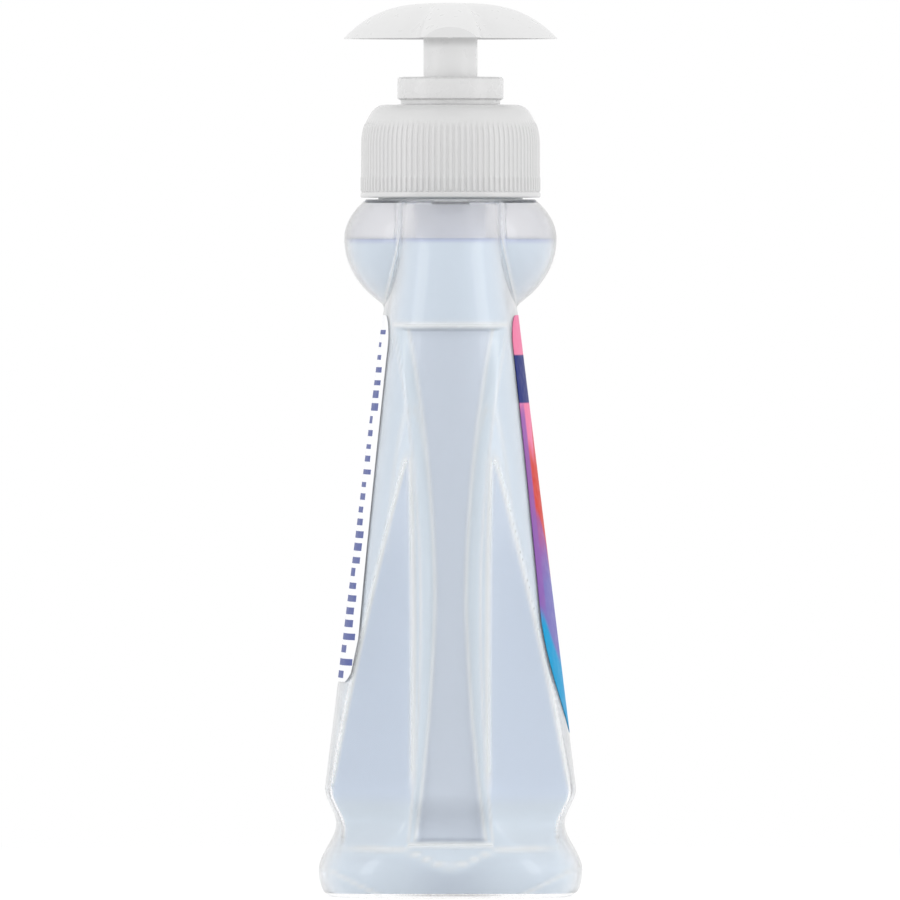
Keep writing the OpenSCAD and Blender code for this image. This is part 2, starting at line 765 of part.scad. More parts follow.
// Sliding cup: two lips on the cylinder wall and a body that grips the stem
module piston_seal() {
    lip_r = cyl_r - run_gap;
    lip_h = 1;
    lip_edge = 0.3;
    waist = lip_r - 0.9;
    slope = 0.8;
    color([0.84, 0.87, 0.90])
        rotate_extrude($fn = fine)
            polygon([
                [stem_r + run_gap, seal_z],
                [lip_r - lip_edge, seal_z],
                [lip_r, seal_z + lip_edge],
                [lip_r, seal_z + lip_h],
                [waist, seal_z + lip_h + slope],
                [waist, seal_top - lip_h - slope],
                [lip_r, seal_top - lip_h],
                [lip_r, seal_top - lip_edge],
                [lip_r - lip_edge, seal_top],
                [stem_r + run_gap, seal_top]
            ]);
}

module piston_rod() {
    color([0.85, 0.86, 0.88])
        union() {
            translate([0, 0, rod_z]) cylinder(r = rod_head_r, h = rod_head_t, $fn = fine);
            translate([0, 0, rod_z]) cylinder(r = stem_bore_r - seat_gap, h = rod_head_t + rod_plug, $fn = fine);
        }
}

// Round wire swept up a helix between the cage and the rod
module return_spring() {
    low = cage_top + wire_r + seat_gap;
    high = rod_z - wire_r - seat_gap;
    count = round(spring_turns * spring_steps);
    end_steps = spring_steps * 0.75;
    color([0.72, 0.73, 0.75])
        skin([for (i = [0 : count])
            let (
                turn = 360 * spring_turns * i / count,
                share = unit((i - end_steps) / (count - 2 * end_steps)),
                z = mix(low, high, share)
            )
            [for (k = [0 : wire_sides - 1])
                let (s = 360 * k / wire_sides, r = spring_r + wire_r * sin(s))
                [r * cos(turn), r * sin(turn), z + wire_r * cos(s)]]]);
}

// Disc that seats the spring, with flow holes and the pin that stops the ball
module valve_cage() {
    holes = 3;
    hole_r = 0.75;
    hole_ring = chamber_r - hole_r - 0.15;
    pin_r = 0.9;
    color([0.82, 0.84, 0.87])
        difference() {
            union() {
                translate([0, 0, cyl_floor]) cylinder(r = cyl_r - seat_gap, h = cage_t, $fn = fine);
                translate([0, 0, cyl_floor - cage_pin]) cylinder(r = pin_r, h = cage_pin + cage_t, $fn = fine);
            }
            for (i = [0 : holes - 1])
                rotate([0, 0, 360 * i / holes])
                    translate([hole_ring, 0, cyl_floor - cut])
                        cylinder(r = hole_r, h = cage_t + 2 * cut, $fn = fine);
        }
}

module check_ball() {
    color([0.75, 0.78, 0.80]) translate([0, 0, ball_c]) sphere(r = ball_valve_r, $fn = fine);
}

module dip_tube() {
    color([0.90, 0.92, 0.94])
        difference() {
            tube(dip_r, dip_r - dip_wall, dip_low, dip_top - dip_low);
            translate([-dip_r, 0, dip_low])
                rotate([0, 30, 0]) translate([-dip_r * 3, -dip_r * 2, -dip_r * 6])
                    cube([dip_r * 8, dip_r * 4, dip_r * 6]);
        }
}

bottle();
liquid_soap();
front_label();
back_label();
closure();
lock_collar();
pump_head();
pump_housing();
neck_gasket();
pump_stem();
piston_seal();
piston_rod();
return_spring();
valve_cage();
check_ball();
dip_tube();
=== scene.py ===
"""Looks of a clear hand soap bottle with its screw-on pump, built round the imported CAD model.

The file is laid out as an add-on, so that sizes and colours can be changed in the sidebar, and is
run as a script. Everything is in metres, in the frame of the CAD model: +Z is up, the front label
faces -Y and the spout points to -X.
"""
import math

import bpy
import numpy as np
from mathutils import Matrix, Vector


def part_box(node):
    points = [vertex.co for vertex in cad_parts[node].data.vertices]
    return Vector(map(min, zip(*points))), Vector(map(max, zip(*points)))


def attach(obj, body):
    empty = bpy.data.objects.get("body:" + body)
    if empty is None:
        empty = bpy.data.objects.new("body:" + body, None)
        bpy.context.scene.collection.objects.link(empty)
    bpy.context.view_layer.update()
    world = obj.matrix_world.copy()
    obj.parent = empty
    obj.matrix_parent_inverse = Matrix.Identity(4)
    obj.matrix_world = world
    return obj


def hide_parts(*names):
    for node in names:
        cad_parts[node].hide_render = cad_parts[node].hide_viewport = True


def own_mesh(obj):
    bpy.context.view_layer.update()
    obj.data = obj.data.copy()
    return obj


bl_info = {
    "name": "Hand soap pump bottle",
    "version": (1, 0, 0),
    "blender": (4, 5, 0),
    "location": "View3D > Sidebar > Soap bottle",
    "description": "Builds the looks of a clear soap bottle and its pump round the CAD model",
    "category": "Object",
}

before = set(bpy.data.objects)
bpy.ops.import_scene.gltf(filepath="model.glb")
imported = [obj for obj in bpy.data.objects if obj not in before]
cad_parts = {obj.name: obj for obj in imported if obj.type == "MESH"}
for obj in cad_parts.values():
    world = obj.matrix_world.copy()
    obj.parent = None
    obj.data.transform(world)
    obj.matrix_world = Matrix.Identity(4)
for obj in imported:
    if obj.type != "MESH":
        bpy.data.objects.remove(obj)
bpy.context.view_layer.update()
MM = 0.001
TURN = 2 * math.pi


# Properties

def length(name, description, millimetres):
    """A length property whose default is given in millimetres."""
    return bpy.props.FloatProperty(
        name=name, description=description, default=millimetres * MM, min=0.0,
        unit="LENGTH", precision=5)


def tint(name, description, red, green, blue):
    """A colour property whose default is given in the 0 to 255 steps of a screen colour."""
    steps = np.array([red, green, blue]) / 255
    linear = np.where(steps <= 0.04045, steps / 12.92, ((steps + 0.055) / 1.055) ** 2.4)
    return bpy.props.FloatVectorProperty(
        name=name, description=description, default=[float(v) for v in linear], size=3,
        min=0.0, max=1.0, subtype="COLOR")


class BottleSizes(bpy.types.PropertyGroup):
    """Sizes of the blown bottle, as in the CAD source."""

    body_h: length("Body height", "From the base to the flat shoulder top", 148)
    wall: length("Wall", "Wall of the blown body", 0.8)
    floor: length("Floor", "Thickness of the base", 1.2)
    roof: length("Roof", "Thickness of the flat shoulder top", 1.0)
    foot_w: length("Foot width", "Width of the foot, side to side", 67)
    foot_d: length("Foot depth", "Depth of the foot, front to back", 56.2)
    foot_z: length("Foot height", "Height of the widest line of the foot", 5.3)
    foot_round: length("Foot rounding", "Inward rounding of the foot down to the base", 2.4)
    waist_w: length("Waist width", "Width of the waist above the foot", 59.4)
    waist_d: length("Waist depth", "Depth of the waist above the foot", 48.6)
    waist_z: length("Waist height", "Height of the waist", 15.3)
    heel_w: length("Heel width", "Width where the straight sides start", 65)
    heel_d: length("Heel depth", "Depth where the straight sides start", 53.4)
    heel_z: length("Heel height", "Height of the heel edge", 22.8)
    shoulder_w: length("Shoulder width", "Greatest body width", 71)
    shoulder_drop: length("Shoulder drop", "From the shoulder top to the greatest width", 36)
    strap_d: length("Strap depth", "Body depth where the ball shoulder starts", 28.4)
    strap_drop: length("Strap drop", "From the shoulder top to that depth", 23.5)
    strap_top_w: length("Strap top width", "Width of the straps at the shoulder top", 40)
    strap_top_d: length("Strap top depth", "Depth of the straps at the shoulder top", 24.2)
    ball_d: length("Ball diameter", "Diameter of the ball shoulder", 45.2)
    ball_drop: length("Ball drop", "From the shoulder top to the ball's widest line", 8.4)
    ball_rise: length("Ball rise", "Half height of the ball above its widest line", 13.9)
    ball_fall: length("Ball fall", "Half height of the ball below its widest line", 18)
    push_up: length("Push-up", "Height of the pushed-up middle of the base", 1.6)
    facet_top: length("Facet top", "Height where the corner facets run out", 94)
    facet_cut: length("Facet cut", "Depth that the facets cut from the corners", 4.4)
    grip_depth: length("Grip depth", "Depth of the side grips", 1.3)
    grip_bevel: length("Grip bevel", "Width of the sloping edge round each grip", 3)
    grip_top_w: length("Grip top width", "Width of the grip at its top end", 23.8)
    grip_mid_w: length("Grip middle width", "Width of the grip at its narrowest", 12.6)
    grip_low_w: length("Grip low width", "Width of the grip at its bottom end", 18)
    grip_mid_z: length("Grip middle height", "Height of the narrowest line", 62)
    grip_low_z: length("Grip low end", "Height of the lower end of the grip", 11.3)
    grip_drop: length("Grip drop", "From the shoulder top to the end of the grip", 26.6)
    bore_r: length("Bore radius", "Bore radius of the neck", 13.3)
    neck_r: length("Neck radius", "Outer radius of the neck", 15.4)
    neck_h: length("Neck height", "Height of the neck over the shoulder top", 16.3)
    thread_h: length("Thread height", "Radial height of the neck thread", 1.2)
    thread_lead: length("Thread lead", "Rise of the thread in one turn", 4.23)
    thread_z: length("Thread start", "Height of the thread over the shoulder top", 7)
    soap_drop: length("Soap level", "How far under the shoulder top the soap stands", 8.6)
    soap_gap: length("Soap gap", "From the soap to the wall and to the pump", 0.03)


class LabelSizes(bpy.types.PropertyGroup):
    """Sizes of the two label films."""

    width: length("Width", "Width of both labels", 49)
    drop: length("Drop", "Upper edge under the shoulder top", 24.6)
    front_low: length("Front low point", "Height of the lower point of the front label", 34.5)
    front_point: length("Front point", "Height over which the front label narrows", 27.5)
    back_low: length("Back low edge", "Height of the lower edge of the back label", 45.5)
    film: length("Film", "Thickness of the film", 0.1)
    film_gap: length("Film gap", "Glue line between the film and the wall", 0.02)
    corner: length("Corner", "Corner radius", 7)
    margin: length("Margin", "Least distance to the edge of a corner facet", 0.6)


class PumpSizes(bpy.types.PropertyGroup):
    """Sizes of the closure, head and spring."""

    cap_r: length("Closure radius", "Outer radius over the ribs", 19.15)
    cap_gap: length("Closure gap", "From the shoulder top to the closure", 0.4)
    cap_wall: length("Closure wall", "Wall between the inner face and the ribs", 1.8)
    cap_lip: length("Lip", "Height of the plain lip under the ribs", 1)
    cap_top_t: length("Closure top", "Thickness of the closure top", 1.6)
    cap_round_r: length("Edge width", "Width of the closure's rounded edge", 4.55)
    cap_round_h: length("Edge height", "Height of the closure's rounded edge", 8.6)
    cap_hole_r: length("Hole radius", "Hole in the closure top for the pump", 10)
    rib_depth: length("Rib depth", "Depth of the ribs", 0.4)
    rib_count: bpy.props.IntProperty(
        name="Ribs", description="Number of ribs round the closure", default=94, min=24)
    head_half_w: length("Head half width", "Half width of the head across the spout", 22.8)
    head_back: length("Head back", "Reach of the head behind the stem", 17.5)
    spout_reach: length("Spout reach", "Reach of the spout in front of the stem", 31)
    spout_half_w: length("Spout half width", "Half width of the spout", 6.6)
    nose_half_w: length("Nose half width", "Half width of the flat nose at the spout's tip", 5.6)
    head_h: length("Head height", "From the rim to the crown", 7.6)
    head_wall: length("Head wall", "Wall of the head", 1.5)
    skirt_r: length("Skirt radius", "Outer radius of the head's skirt", 5.75)
    stem_r: length("Stem radius", "Outer radius of the stem", 3.5)
    outlet_r: length("Outlet radius", "Radius of the outlet channel", 1.2)
    tube_wall: length("Outlet tube wall", "Wall of the outlet tube under the head", 0.8)
    rib_drop: length("Rib drop", "How far under the closure top the ribs end", 3.4)
    spring_r: length("Spring radius", "Mean radius of the return spring", 5)
    wire_r: length("Wire radius", "Wire radius of the return spring", 0.45)
    spring_turns: bpy.props.FloatProperty(
        name="Spring turns", description="Turns of the return spring", default=5.5, min=1)
    stroke: length("Stroke", "Travel of the head", 7)


class Finishes(bpy.types.PropertyGroup):
    """Colours of the materials and of the printed films, and of painted light and shade on the bottle
    and the soap.
    """

    clear: tint("Clear plastic", "Tint of the blown bottle", 252, 252, 253)
    # Painted shade: the wall is greyer above the soap.
    clear_dry_shade: tint("Dry clear plastic", "Tint of the bottle above the soap", 241, 241, 243)
    soap: tint("Soap", "Colour of the soap", 224, 237, 253)
    # Painted shade: the soap behind the side grips, greyer.
    soap_grip_shade: tint("Soap in the grips", "Colour of the soap behind the side grips", 225, 235, 247)
    # Painted light: paler soap behind the straps, bevels and sides.
    soap_pale_light: tint("Pale soap", "Colour of the soap behind the straps", 234, 246, 255)
    # Painted shade: a darker line at the soap's surface.
    soap_line_shade: tint("Soap line", "Colour at the soap's surface", 204, 214, 240)
    # Painted highlight along the creases, and painted light on the neck under the closure.
    edge: tint("Edge", "Light held along the creases", 252, 255, 255)
    white: tint("White plastic", "Closure and collar", 218, 218, 218)
    head: tint("Head plastic", "Pump head", 222, 222, 222)
    collar: tint("Collar plastic", "Lock collar", 229, 229, 229)
    stem: tint("Stem plastic", "Pump stem", 255, 255, 255)
    natural: tint("Natural plastic", "Housing, rod, cage and dip tube", 254, 254, 255)
    foam: tint("Foam", "Neck gasket", 214, 216, 219)
    seal: tint("Seal", "Piston seal", 216, 222, 228)
    steel: tint("Steel", "Spring and check ball", 190, 192, 195)
    print_pink: tint("Pink print", "Top of the front label", 240, 128, 168)
    print_navy: tint("Navy print", "Plain panel of the front label", 30, 44, 120)
    print_coral: tint("Coral print", "Middle of the front label", 212, 62, 48)
    print_violet: tint("Violet print", "Side fields of the front label", 142, 96, 176)
    print_blue: tint("Blue print", "Lower part of the front label", 28, 158, 210)
    print_mist: tint("Mist print", "Pale shapes of the front label", 248, 214, 226)
    back_white: tint("Back film", "Ground of the back label", 250, 251, 253)
    back_ink: tint("Back ink", "Bars of the back label", 44, 66, 146)


# Plain shape helpers

def mix(a, b, t):
    """Value on the way from a to b at share t."""
    return a + (b - a) * t


def unit(t):
    """t held between 0 and 1."""
    return np.clip(t, 0.0, 1.0)


def ease(t):
    """Smooth step of a share: three t squared less two t cubed."""
    t = unit(t)
    return t * t * (3 - 2 * t)


def arc(t):
    """Height of a unit circle over t."""
    return np.sqrt(np.maximum(0.0, 1 - t * t))


def soft_max(a, b, blend):
    """Larger of two lengths, rounded where they are within the blend length of each other."""
    h = unit(0.5 + 0.5 * (a - b) / blend)
    return mix(b, a, h) + blend * h * (1 - h)


def soft_min(a, b, blend):
    """Smaller of two lengths, rounded the same way."""
    return -soft_max(-a, -b, blend)


def levels(*spans):
    """Heights from spans of (start, end, count), each without its end, and the last end."""
    parts = [np.linspace(start, end, count, endpoint=False) for start, end, count in spans]
    return np.concatenate(parts + [[spans[-1][1]]])


def signed_volume(points, quads, fans):
    """Volume inside closed faces, which is negative where they point inwards."""
    corners = np.concatenate([quads[:, [0, 1, 2]], quads[:, [0, 2, 3]], fans])
    a, b, c = (points[corners[:, k]] for k in range(3))
    return float(np.einsum("ij,ij->i", a, np.cross(b, c)).sum()) / 6


def surface(name, rows, poles=(None, None), looped=False, split=35.0, attributes=None):
    """Object over an array of points (rows, columns, 3) that is closed round its columns.

    Each pole point closes one end as a fan, and looped joins the last row to the first. Faces are
    turned outwards by the sign of the volume that they hold, and edges sharper than split degrees
    are shaded as edges.
    """
    count, columns = rows.shape[:2]
    points = rows.reshape(-1, 3)
    index = np.arange(count * columns).reshape(count, columns)
    after = np.roll(index, -1, axis=1)
    low, high = (index, np.roll(index, -1, axis=0)) if looped else (index[:-1], index[1:])
    low_after, high_after = (after, np.roll(after, -1, axis=0)) if looped else (after[:-1], after[1:])
    quads = np.stack([low, low_after, high_after, high], axis=-1).reshape(-1, 4)
    fans = np.zeros((0, 3), int)
    for end, pole in enumerate(poles):
        if pole is not None:
            tip = np.full(columns, len(points))
            points = np.vstack([points, pole])
            row, row_after = index[-end], after[-end]
            fan = (row, row_after, tip) if end else (tip, row_after, row)
            fans = np.concatenate([fans, np.stack(fan, axis=-1)])
    if signed_volume(points, quads, fans) < 0:
        quads, fans = quads[:, ::-1], fans[:, ::-1]
    mesh = bpy.data.meshes.new(name)
    mesh.vertices.add(len(points))
    mesh.vertices.foreach_set("co", points.astype(np.float32).ravel())
    corners = np.concatenate([quads.ravel(), fans.ravel()])
    mesh.loops.add(len(corners))
    mesh.loops.foreach_set("vertex_index", corners.astype(np.int32))
    starts = np.concatenate([np.arange(len(quads)) * 4, len(quads) * 4 + np.arange(len(fans)) * 3])
    mesh.polygons.add(len(starts))
    mesh.polygons.foreach_set("loop_start", starts.astype(np.int32))
    mesh.update(calc_edges=True)
    for key, values in (attributes or {}).items():
        layer = mesh.attributes.new(key, "FLOAT", "POINT")
        padded = np.zeros(len(points), np.float32)
        padded[:values.size] = values.ravel()
        layer.data.foreach_set("value", padded)
    return shaded(bpy.data.objects.new(name, mesh), split)


def shaded(piece, split=35.0):
    """Links a piece to the scene with smooth faces, apart from edges sharper than split degrees."""
    mesh = piece.data
    mesh.polygons.foreach_set("use_smooth", np.ones(len(mesh.polygons), bool))
    mesh.set_sharp_from_angle(angle=math.radians(split))
    if piece.name not in bpy.context.scene.collection.objects:
        bpy.context.scene.collection.objects.link(piece)
    return piece


def turned(profile, columns):
    """Rows of points for a profile of (radius, height) turned round the Z axis."""
    profile = np.asarray(profile, float)
    angle = np.arange(columns) * TURN / columns
    r, z = profile[:, :1], profile[:, 1:]
    return np.stack([r * np.cos(angle), r * np.sin(angle), z + 0 * angle], axis=-1)


def turned_solid(name, profile, columns=96):
    """Closed solid of a profile that starts and ends on the Z axis."""
    profile = np.asarray(profile, float)
    return surface(name, turned(profile[1:-1], columns),
                   poles=([0, 0, profile[0, 1]], [0, 0, profile[-1, 1]]))


def thread_ridge(angle, z, start, lead, turns, height):
    """Height of a thread that climbs by its lead each turn.

    Its section is a trapezoid, 1.6 mm at the root and 0.8 mm at the crest, and it fades in and out
    over a sixth of a turn.
    """
    root, tip = 1.6 * MM, 0.8 * MM
    ridge = np.zeros(np.broadcast(angle, z).shape)
    for wind in range(math.ceil(turns)):
        turn = (angle % TURN) / TURN + wind
        flank = unit((root / 2 - np.abs(z - start - lead * turn)) / ((root - tip) / 2))
        fade = ease(np.minimum(turn, turns - turn) * 6)
        ridge = np.maximum(ridge, height * flank * fade)
    return ridge


# Shape of the blown body

SQUARENESS = 3.0
FACET_TURN_TOP, FACET_TURN_LOW = math.radians(30), math.radians(44)
CREASE_ROUND = 0.5 * MM
BALL_ROUND = 1.2 * MM


def low_half(s, z, foot, waist, heel):
    """Half size of the foot, waist and heel: a round toe, then two smooth steps."""
    toe = foot - s.foot_round * (1 - arc(1 - z / s.foot_z))
    up = mix(foot, waist, ease((z - s.foot_z) / (s.waist_z - s.foot_z)))
    out = mix(waist, heel, ease((z - s.waist_z) / (s.heel_z - s.waist_z)))
    return np.where(z < s.foot_z, toe, np.where(z < s.waist_z, up, out))


def half_width(s, z):
    """Half width at a height: a quarter sine to the shoulder, then a quarter of an ellipse."""
    shoulder_z = s.body_h - s.shoulder_drop
    side = mix(s.heel_w / 2, s.shoulder_w / 2,
               np.sin(math.pi / 2 * unit((z - s.heel_z) / (shoulder_z - s.heel_z))))
    top = mix(s.strap_top_w / 2, s.shoulder_w / 2,
              arc(unit((z - shoulder_z) / (s.body_h - shoulder_z))))
    low = low_half(s, z, s.foot_w / 2, s.waist_w / 2, s.heel_w / 2)
    return np.where(z < s.heel_z, low, np.where(z < shoulder_z, side, top))


def half_depth(s, z):
    """Half depth at a height: one straight taper to the straps, then a parabola."""
    strap_z = s.body_h - s.strap_drop
    side = mix(s.heel_d / 2, s.strap_d / 2, unit((z - s.heel_z) / (strap_z - s.heel_z)))
    top = mix(s.strap_top_d / 2, s.strap_d / 2, unit(1 - (z - strap_z) / (s.body_h - strap_z)) ** 2)
    low = low_half(s, z, s.foot_d / 2, s.waist_d / 2, s.heel_d / 2)
    return np.where(z < s.heel_z, low, np.where(z < strap_z, side, top))


def facet_turn(s, z):
    """Direction of a corner facet, which swings towards the side as it climbs."""
    return mix(FACET_TURN_LOW, FACET_TURN_TOP, unit((z - s.heel_z) / (s.facet_top - s.heel_z)))


def facet_plane(s, z, w, d):
    """Distance of a facet from the axis: that of the rounded corner, less the cut."""
    power = SQUARENESS / (SQUARENESS - 1)
    turn = facet_turn(s, z)
    over = unit((s.facet_top - z) / (s.facet_top - s.heel_z)) ** 1.6
    under = ease((z - s.foot_z) / (s.heel_z - s.foot_z))
    corner = ((w * np.cos(turn)) ** power + (d * np.sin(turn)) ** power) ** (1 / power)
    return corner - s.facet_cut * np.where(z > s.heel_z, over, under)


def grip_half(s, z):
    """Half width of the side grip at a height, widening from its narrowest line both ways."""
    top_z = s.body_h - s.grip_drop
    up = mix(s.grip_mid_w / 2, s.grip_top_w / 2,
             unit((z - s.grip_mid_z) / (top_z - s.grip_mid_z)) ** 1.9)
    down = mix(s.grip_mid_w / 2, s.grip_low_w / 2,
               unit((s.grip_mid_z - z) / (s.grip_mid_z - s.grip_low_z)) ** 2)
    return np.where(z > s.grip_mid_z, up, down)


def grip_share(s, y, z):
    """Share of the grip's full depth: smooth steps across its bevel and at its two ends."""
    top_z = s.body_h - s.grip_drop
    end = s.grip_bevel / 2
    return (ease((grip_half(s, z) - np.abs(y)) / s.grip_bevel)
            * ease((z - s.grip_low_z) / end) * ease((top_z - z) / end))


# Widths of the painted highlights along the creases, the strap edges and the grip's edges.
CREASE_LIGHT = 0.6 * MM
STRAP_LIGHT = 0.55 * MM
STRIP_LIGHT = 0.45 * MM
GRIP_LIGHT = 0.3 * MM
LOW_BEVEL = 0.45


def line_light(value, points, width):
    """Painted highlight along the line where a value is nought: a bell of the distance from it.

    The distance is the value over its slope along the surface.
    """
    slope = 0.0
    for axis in (0, 1):
        reach = np.linalg.norm(np.gradient(points, axis=axis), axis=-1)
        slope = slope + (np.gradient(value, axis=axis) / np.maximum(reach, 1e-9)) ** 2
    away = np.abs(value) / np.maximum(np.sqrt(slope), 1e-3)
    return np.exp(-(away / width) ** 2), away


def body_forms(s, angle, z, inset=0.0):
    """Radii of the body's forms in a direction: squared oval, facet plane and ball."""
    w, d = half_width(s, z) - inset, half_depth(s, z) - inset
    oval = ((np.abs(np.cos(angle)) / w) ** SQUARENESS
            + (np.abs(np.sin(angle)) / d) ** SQUARENESS) ** (-1 / SQUARENESS)
    off_axis = np.arccos(unit(np.abs(np.cos(angle))))
    facet = facet_plane(s, z, w, d) / np.cos(off_axis - facet_turn(s, z))
    ball_z = s.body_h - s.ball_drop
    ball = s.ball_d / 2 * arc((z - ball_z) / np.where(z > ball_z, s.ball_rise, s.ball_fall)) - inset
    return oval, facet, ball + 0 * angle


def body_point(s, angle, z, inset=0.0, share=1.0, lift=0.0):
    """Points of the body wall.

    The section is a squared oval cut by the four facets, joined to the ball, with the grips sunk
    into both ends of its width.
    """
    oval, facet, ball = body_forms(s, angle, z, inset)
    r = soft_max(soft_min(oval, facet, CREASE_ROUND), ball, BALL_ROUND) * share
    x, y = r * np.cos(angle), r * np.sin(angle)
    x = x - np.sign(np.cos(angle)) * s.grip_depth * grip_share(s, y, z)
    return np.stack([x, y, z + lift + 0 * x], axis=-1)


def body_light_and_shade(s, angle, z, points, inset=0.0):
    """Painted light and shade of the wall and the soap behind it at each point, as values from 0 to 1.

    edge_light is the painted highlight along the creases; the other keys, in order, hold the painted
    shade of the corner facets, the painted shade of the grips, the painted light on the bevels, straps
    and sides, and the painted shade of dark lobes seen through the foot under a painted bright bow.
    """
    oval, facet, ball = body_forms(s, angle, z, inset)
    side = np.minimum(oval, facet)
    y, height = points[..., 1], z + 0 * angle
    across = np.abs(y)
    under = unit((s.facet_top + 0.6 * MM - height) / (2 * MM))
    under = under * unit((height - s.heel_z + 2 * MM) / (6 * MM))
    crease, crease_far = line_light(oval - facet, points, CREASE_LIGHT)
    strap, _ = line_light(side - ball, points, STRAP_LIGHT)
    strap = strap * (height > s.body_h - 2 * s.strap_drop)
    top_z = s.body_h - s.grip_drop
    share_down = unit((s.grip_mid_z - height) / (s.grip_mid_z - s.grip_low_z))
    strip = grip_half(s, height) - s.grip_bevel * mix(1.0, LOW_BEVEL, share_down)
    inner, _ = line_light(strip - across, points, STRIP_LIGHT)
    outer, _ = line_light(grip_half(s, height) - across, points, GRIP_LIGHT)
    beside = unit((height - s.grip_low_z) / MM) * unit((top_z - height) / MM)
    ends = np.exp(-((height - top_z) / (0.55 * MM)) ** 2) * (across < grip_half(s, height))
    ends = ends + np.exp(-((height - s.grip_low_z) / (0.5 * MM)) ** 2) * (across < grip_half(s, height))
    bow_z = mix(6.8 * MM, 10.2 * MM, ease(across / (11 * MM)))
    bow = np.exp(-((height - bow_z) / (0.45 * MM)) ** 2) * unit((24 * MM - across) / (6 * MM))
    toe = np.exp(-((height - mix(0.4 * MM, 6 * MM, (across - 14 * MM) / (12 * MM))) / (0.4 * MM)) ** 2)
    toe = toe * (across > 14 * MM)
    arch = line_light(height - (s.facet_top + 10 * MM - ((across - 8.2 * MM) / MM) ** 2 * 1.1 * MM),
                      points, 0.7 * MM)[0] * (across > 5 * MM) * (across < 13 * MM)
    # Painted highlights along the creases, the strap edges, the grip's strips and ends, a bow and toe at
    # the foot, and an arch over the facets.
    edge = np.maximum.reduce([crease * under, strap, 0.6 * inner * beside, 0.6 * outer * beside,
                              0.9 * ends, 0.8 * bow, 0.6 * toe, 0.35 * arch])
    # Painted shade: the soap behind the corner facets is darker.
    facet_shade = (oval > facet) * ease(crease_far / MM) * under
    # Painted shade: the soap behind the grips is greyer.
    grip_shade = ease((strip - across) / (0.5 * MM)) * beside
    # Painted light: paler soap behind the grip bevels, the straps, the sides and the foot.
    bevel = ease((grip_half(s, height) - across) / (0.4 * MM)) * (1 - grip_shade) * beside
    straps = ease((height - s.facet_top) / (22 * MM)) * (side > ball)
    sides = (oval < facet) * (across > grip_half(s, height))
    pale_light = np.maximum.reduce([bevel, 0.7 * straps, 0.75 * sides * (height > s.heel_z),
                                   0.9 * ease((s.heel_z - height) / (4 * MM))])
    # Painted shade: dark lobes seen through the foot, under the painted bow.
    foot_shade = ease((bow_z - height) / (2.5 * MM)) * ease((26 * MM - across) / (14 * MM))
    foot_shade = foot_shade * (0.65 + 0.35 * np.cos(across / (4.2 * MM)))
    tones = {"edge_light": edge, "facet_shade": facet_shade, "grip_shade": grip_shade,
             "pale_light": pale_light, "foot_shade": foot_shade}
    return {key: unit(value + 0 * points[..., 0]) for key, value in tones.items()}


def body_angles(columns):
    """Directions of the columns, crowded towards the grips by nine degrees."""
    u = np.arange(columns) * TURN / columns
    return (u - math.radians(9) * np.sin(2 * u))[None, :]


def base_rows(s, angle, z, inset):
    """Rows of the pushed-up base from near the middle outwards: resting ring at full radius share."""
    shares = np.array([0.2, 0.35, 0.55, 0.65, 0.72, 0.78, 0.8])
    lifts = s.push_up * np.array([1.0, 0.94, 0.8, 0.62, 0.38, 0.1, 0.0])
    rows = [body_point(s, angle, np.full((1, 1), z), inset, share, lift)
            for share, lift in zip(shares, lifts)]
    return np.concatenate(rows)


def round_rows(profile, angle):
    """Rows of round rings at the body's own column directions."""
    profile = np.asarray(profile, float)
    r, z = profile[:, :1], profile[:, 1:]
    return np.stack([r * np.cos(angle), r * np.sin(angle), z + 0 * angle], axis=-1)


def wall_heights(s, low, high):
    """Heights for the body wall, close together at the foot, the grip's ends and the ball."""
    grip_top = s.body_h - s.grip_drop
    half_bevel = s.grip_bevel / 2
    ball_z = s.body_h - s.ball_drop
    heights = levels(
        (low, s.foot_z, 6), (s.foot_z, s.grip_low_z, 6), (s.grip_low_z, s.grip_low_z + half_bevel, 5),
        (s.grip_low_z + half_bevel, s.heel_z, 12), (s.heel_z, s.facet_top, 48),
        (s.facet_top, grip_top - half_bevel, 14), (grip_top - half_bevel, grip_top, 6),
        (grip_top, ball_z, 24), (ball_z, high, 10))
    return heights[:, None]


SHELL_COLUMNS = 288
# Height under which the head's skirt is painted lighter, as painted light.
LIT_SKIRT_TOP = 181 * MM
SOAP_COLUMNS = 560


def spread(tones, key, before, after):
    """One tone over a whole grid: nought on the rows before and after the wall's own rows."""
    tone = tones[key]
    return np.concatenate([np.zeros((before, tone.shape[1])), tone, np.zeros((after, tone.shape[1]))])


def bottle_surface(s):
    """The bottle as one closed grid: base, outer wall, neck with its thread, bore and inner wall."""
    angle = body_angles(SHELL_COLUMNS)
    heights = wall_heights(s, 0.0, s.body_h)
    outer = body_point(s, angle, heights)
    inner_top = s.body_h - s.roof
    inner = body_point(s, angle, wall_heights(s, s.floor, inner_top), s.wall)
    neck_top = s.body_h + s.neck_h
    neck_z = np.linspace(s.body_h, neck_top - 0.4 * MM, 50)[:, None]
    ridge = thread_ridge(angle, neck_z, s.body_h + s.thread_z, s.thread_lead, 1.5, s.thread_h)
    neck_r = s.neck_r + ridge
    neck = np.stack([neck_r * np.cos(angle), neck_r * np.sin(angle), neck_z + 0 * angle], axis=-1)
    rim = round_rows([(s.neck_r - 0.15 * MM, neck_top - 0.1 * MM), (s.neck_r - 0.4 * MM, neck_top),
                      (s.bore_r + 0.3 * MM, neck_top), (s.bore_r, neck_top - 0.3 * MM),
                      (s.bore_r, s.body_h), (s.bore_r, inner_top)], angle)
    base, floor = base_rows(s, angle, 0.0, 0.0), base_rows(s, angle, s.floor, s.wall)[::-1]
    rest = [neck, rim, inner[::-1], floor]
    tones = body_light_and_shade(s, angle, heights, outer)
    light = spread(tones, "edge_light", len(base), sum(len(part) for part in rest))
    return surface("bottle_shell", np.concatenate([base, outer, *rest]),
                   poles=([0, 0, s.push_up], [0, 0, s.floor + s.push_up]),
                   attributes={"edge_light": light})


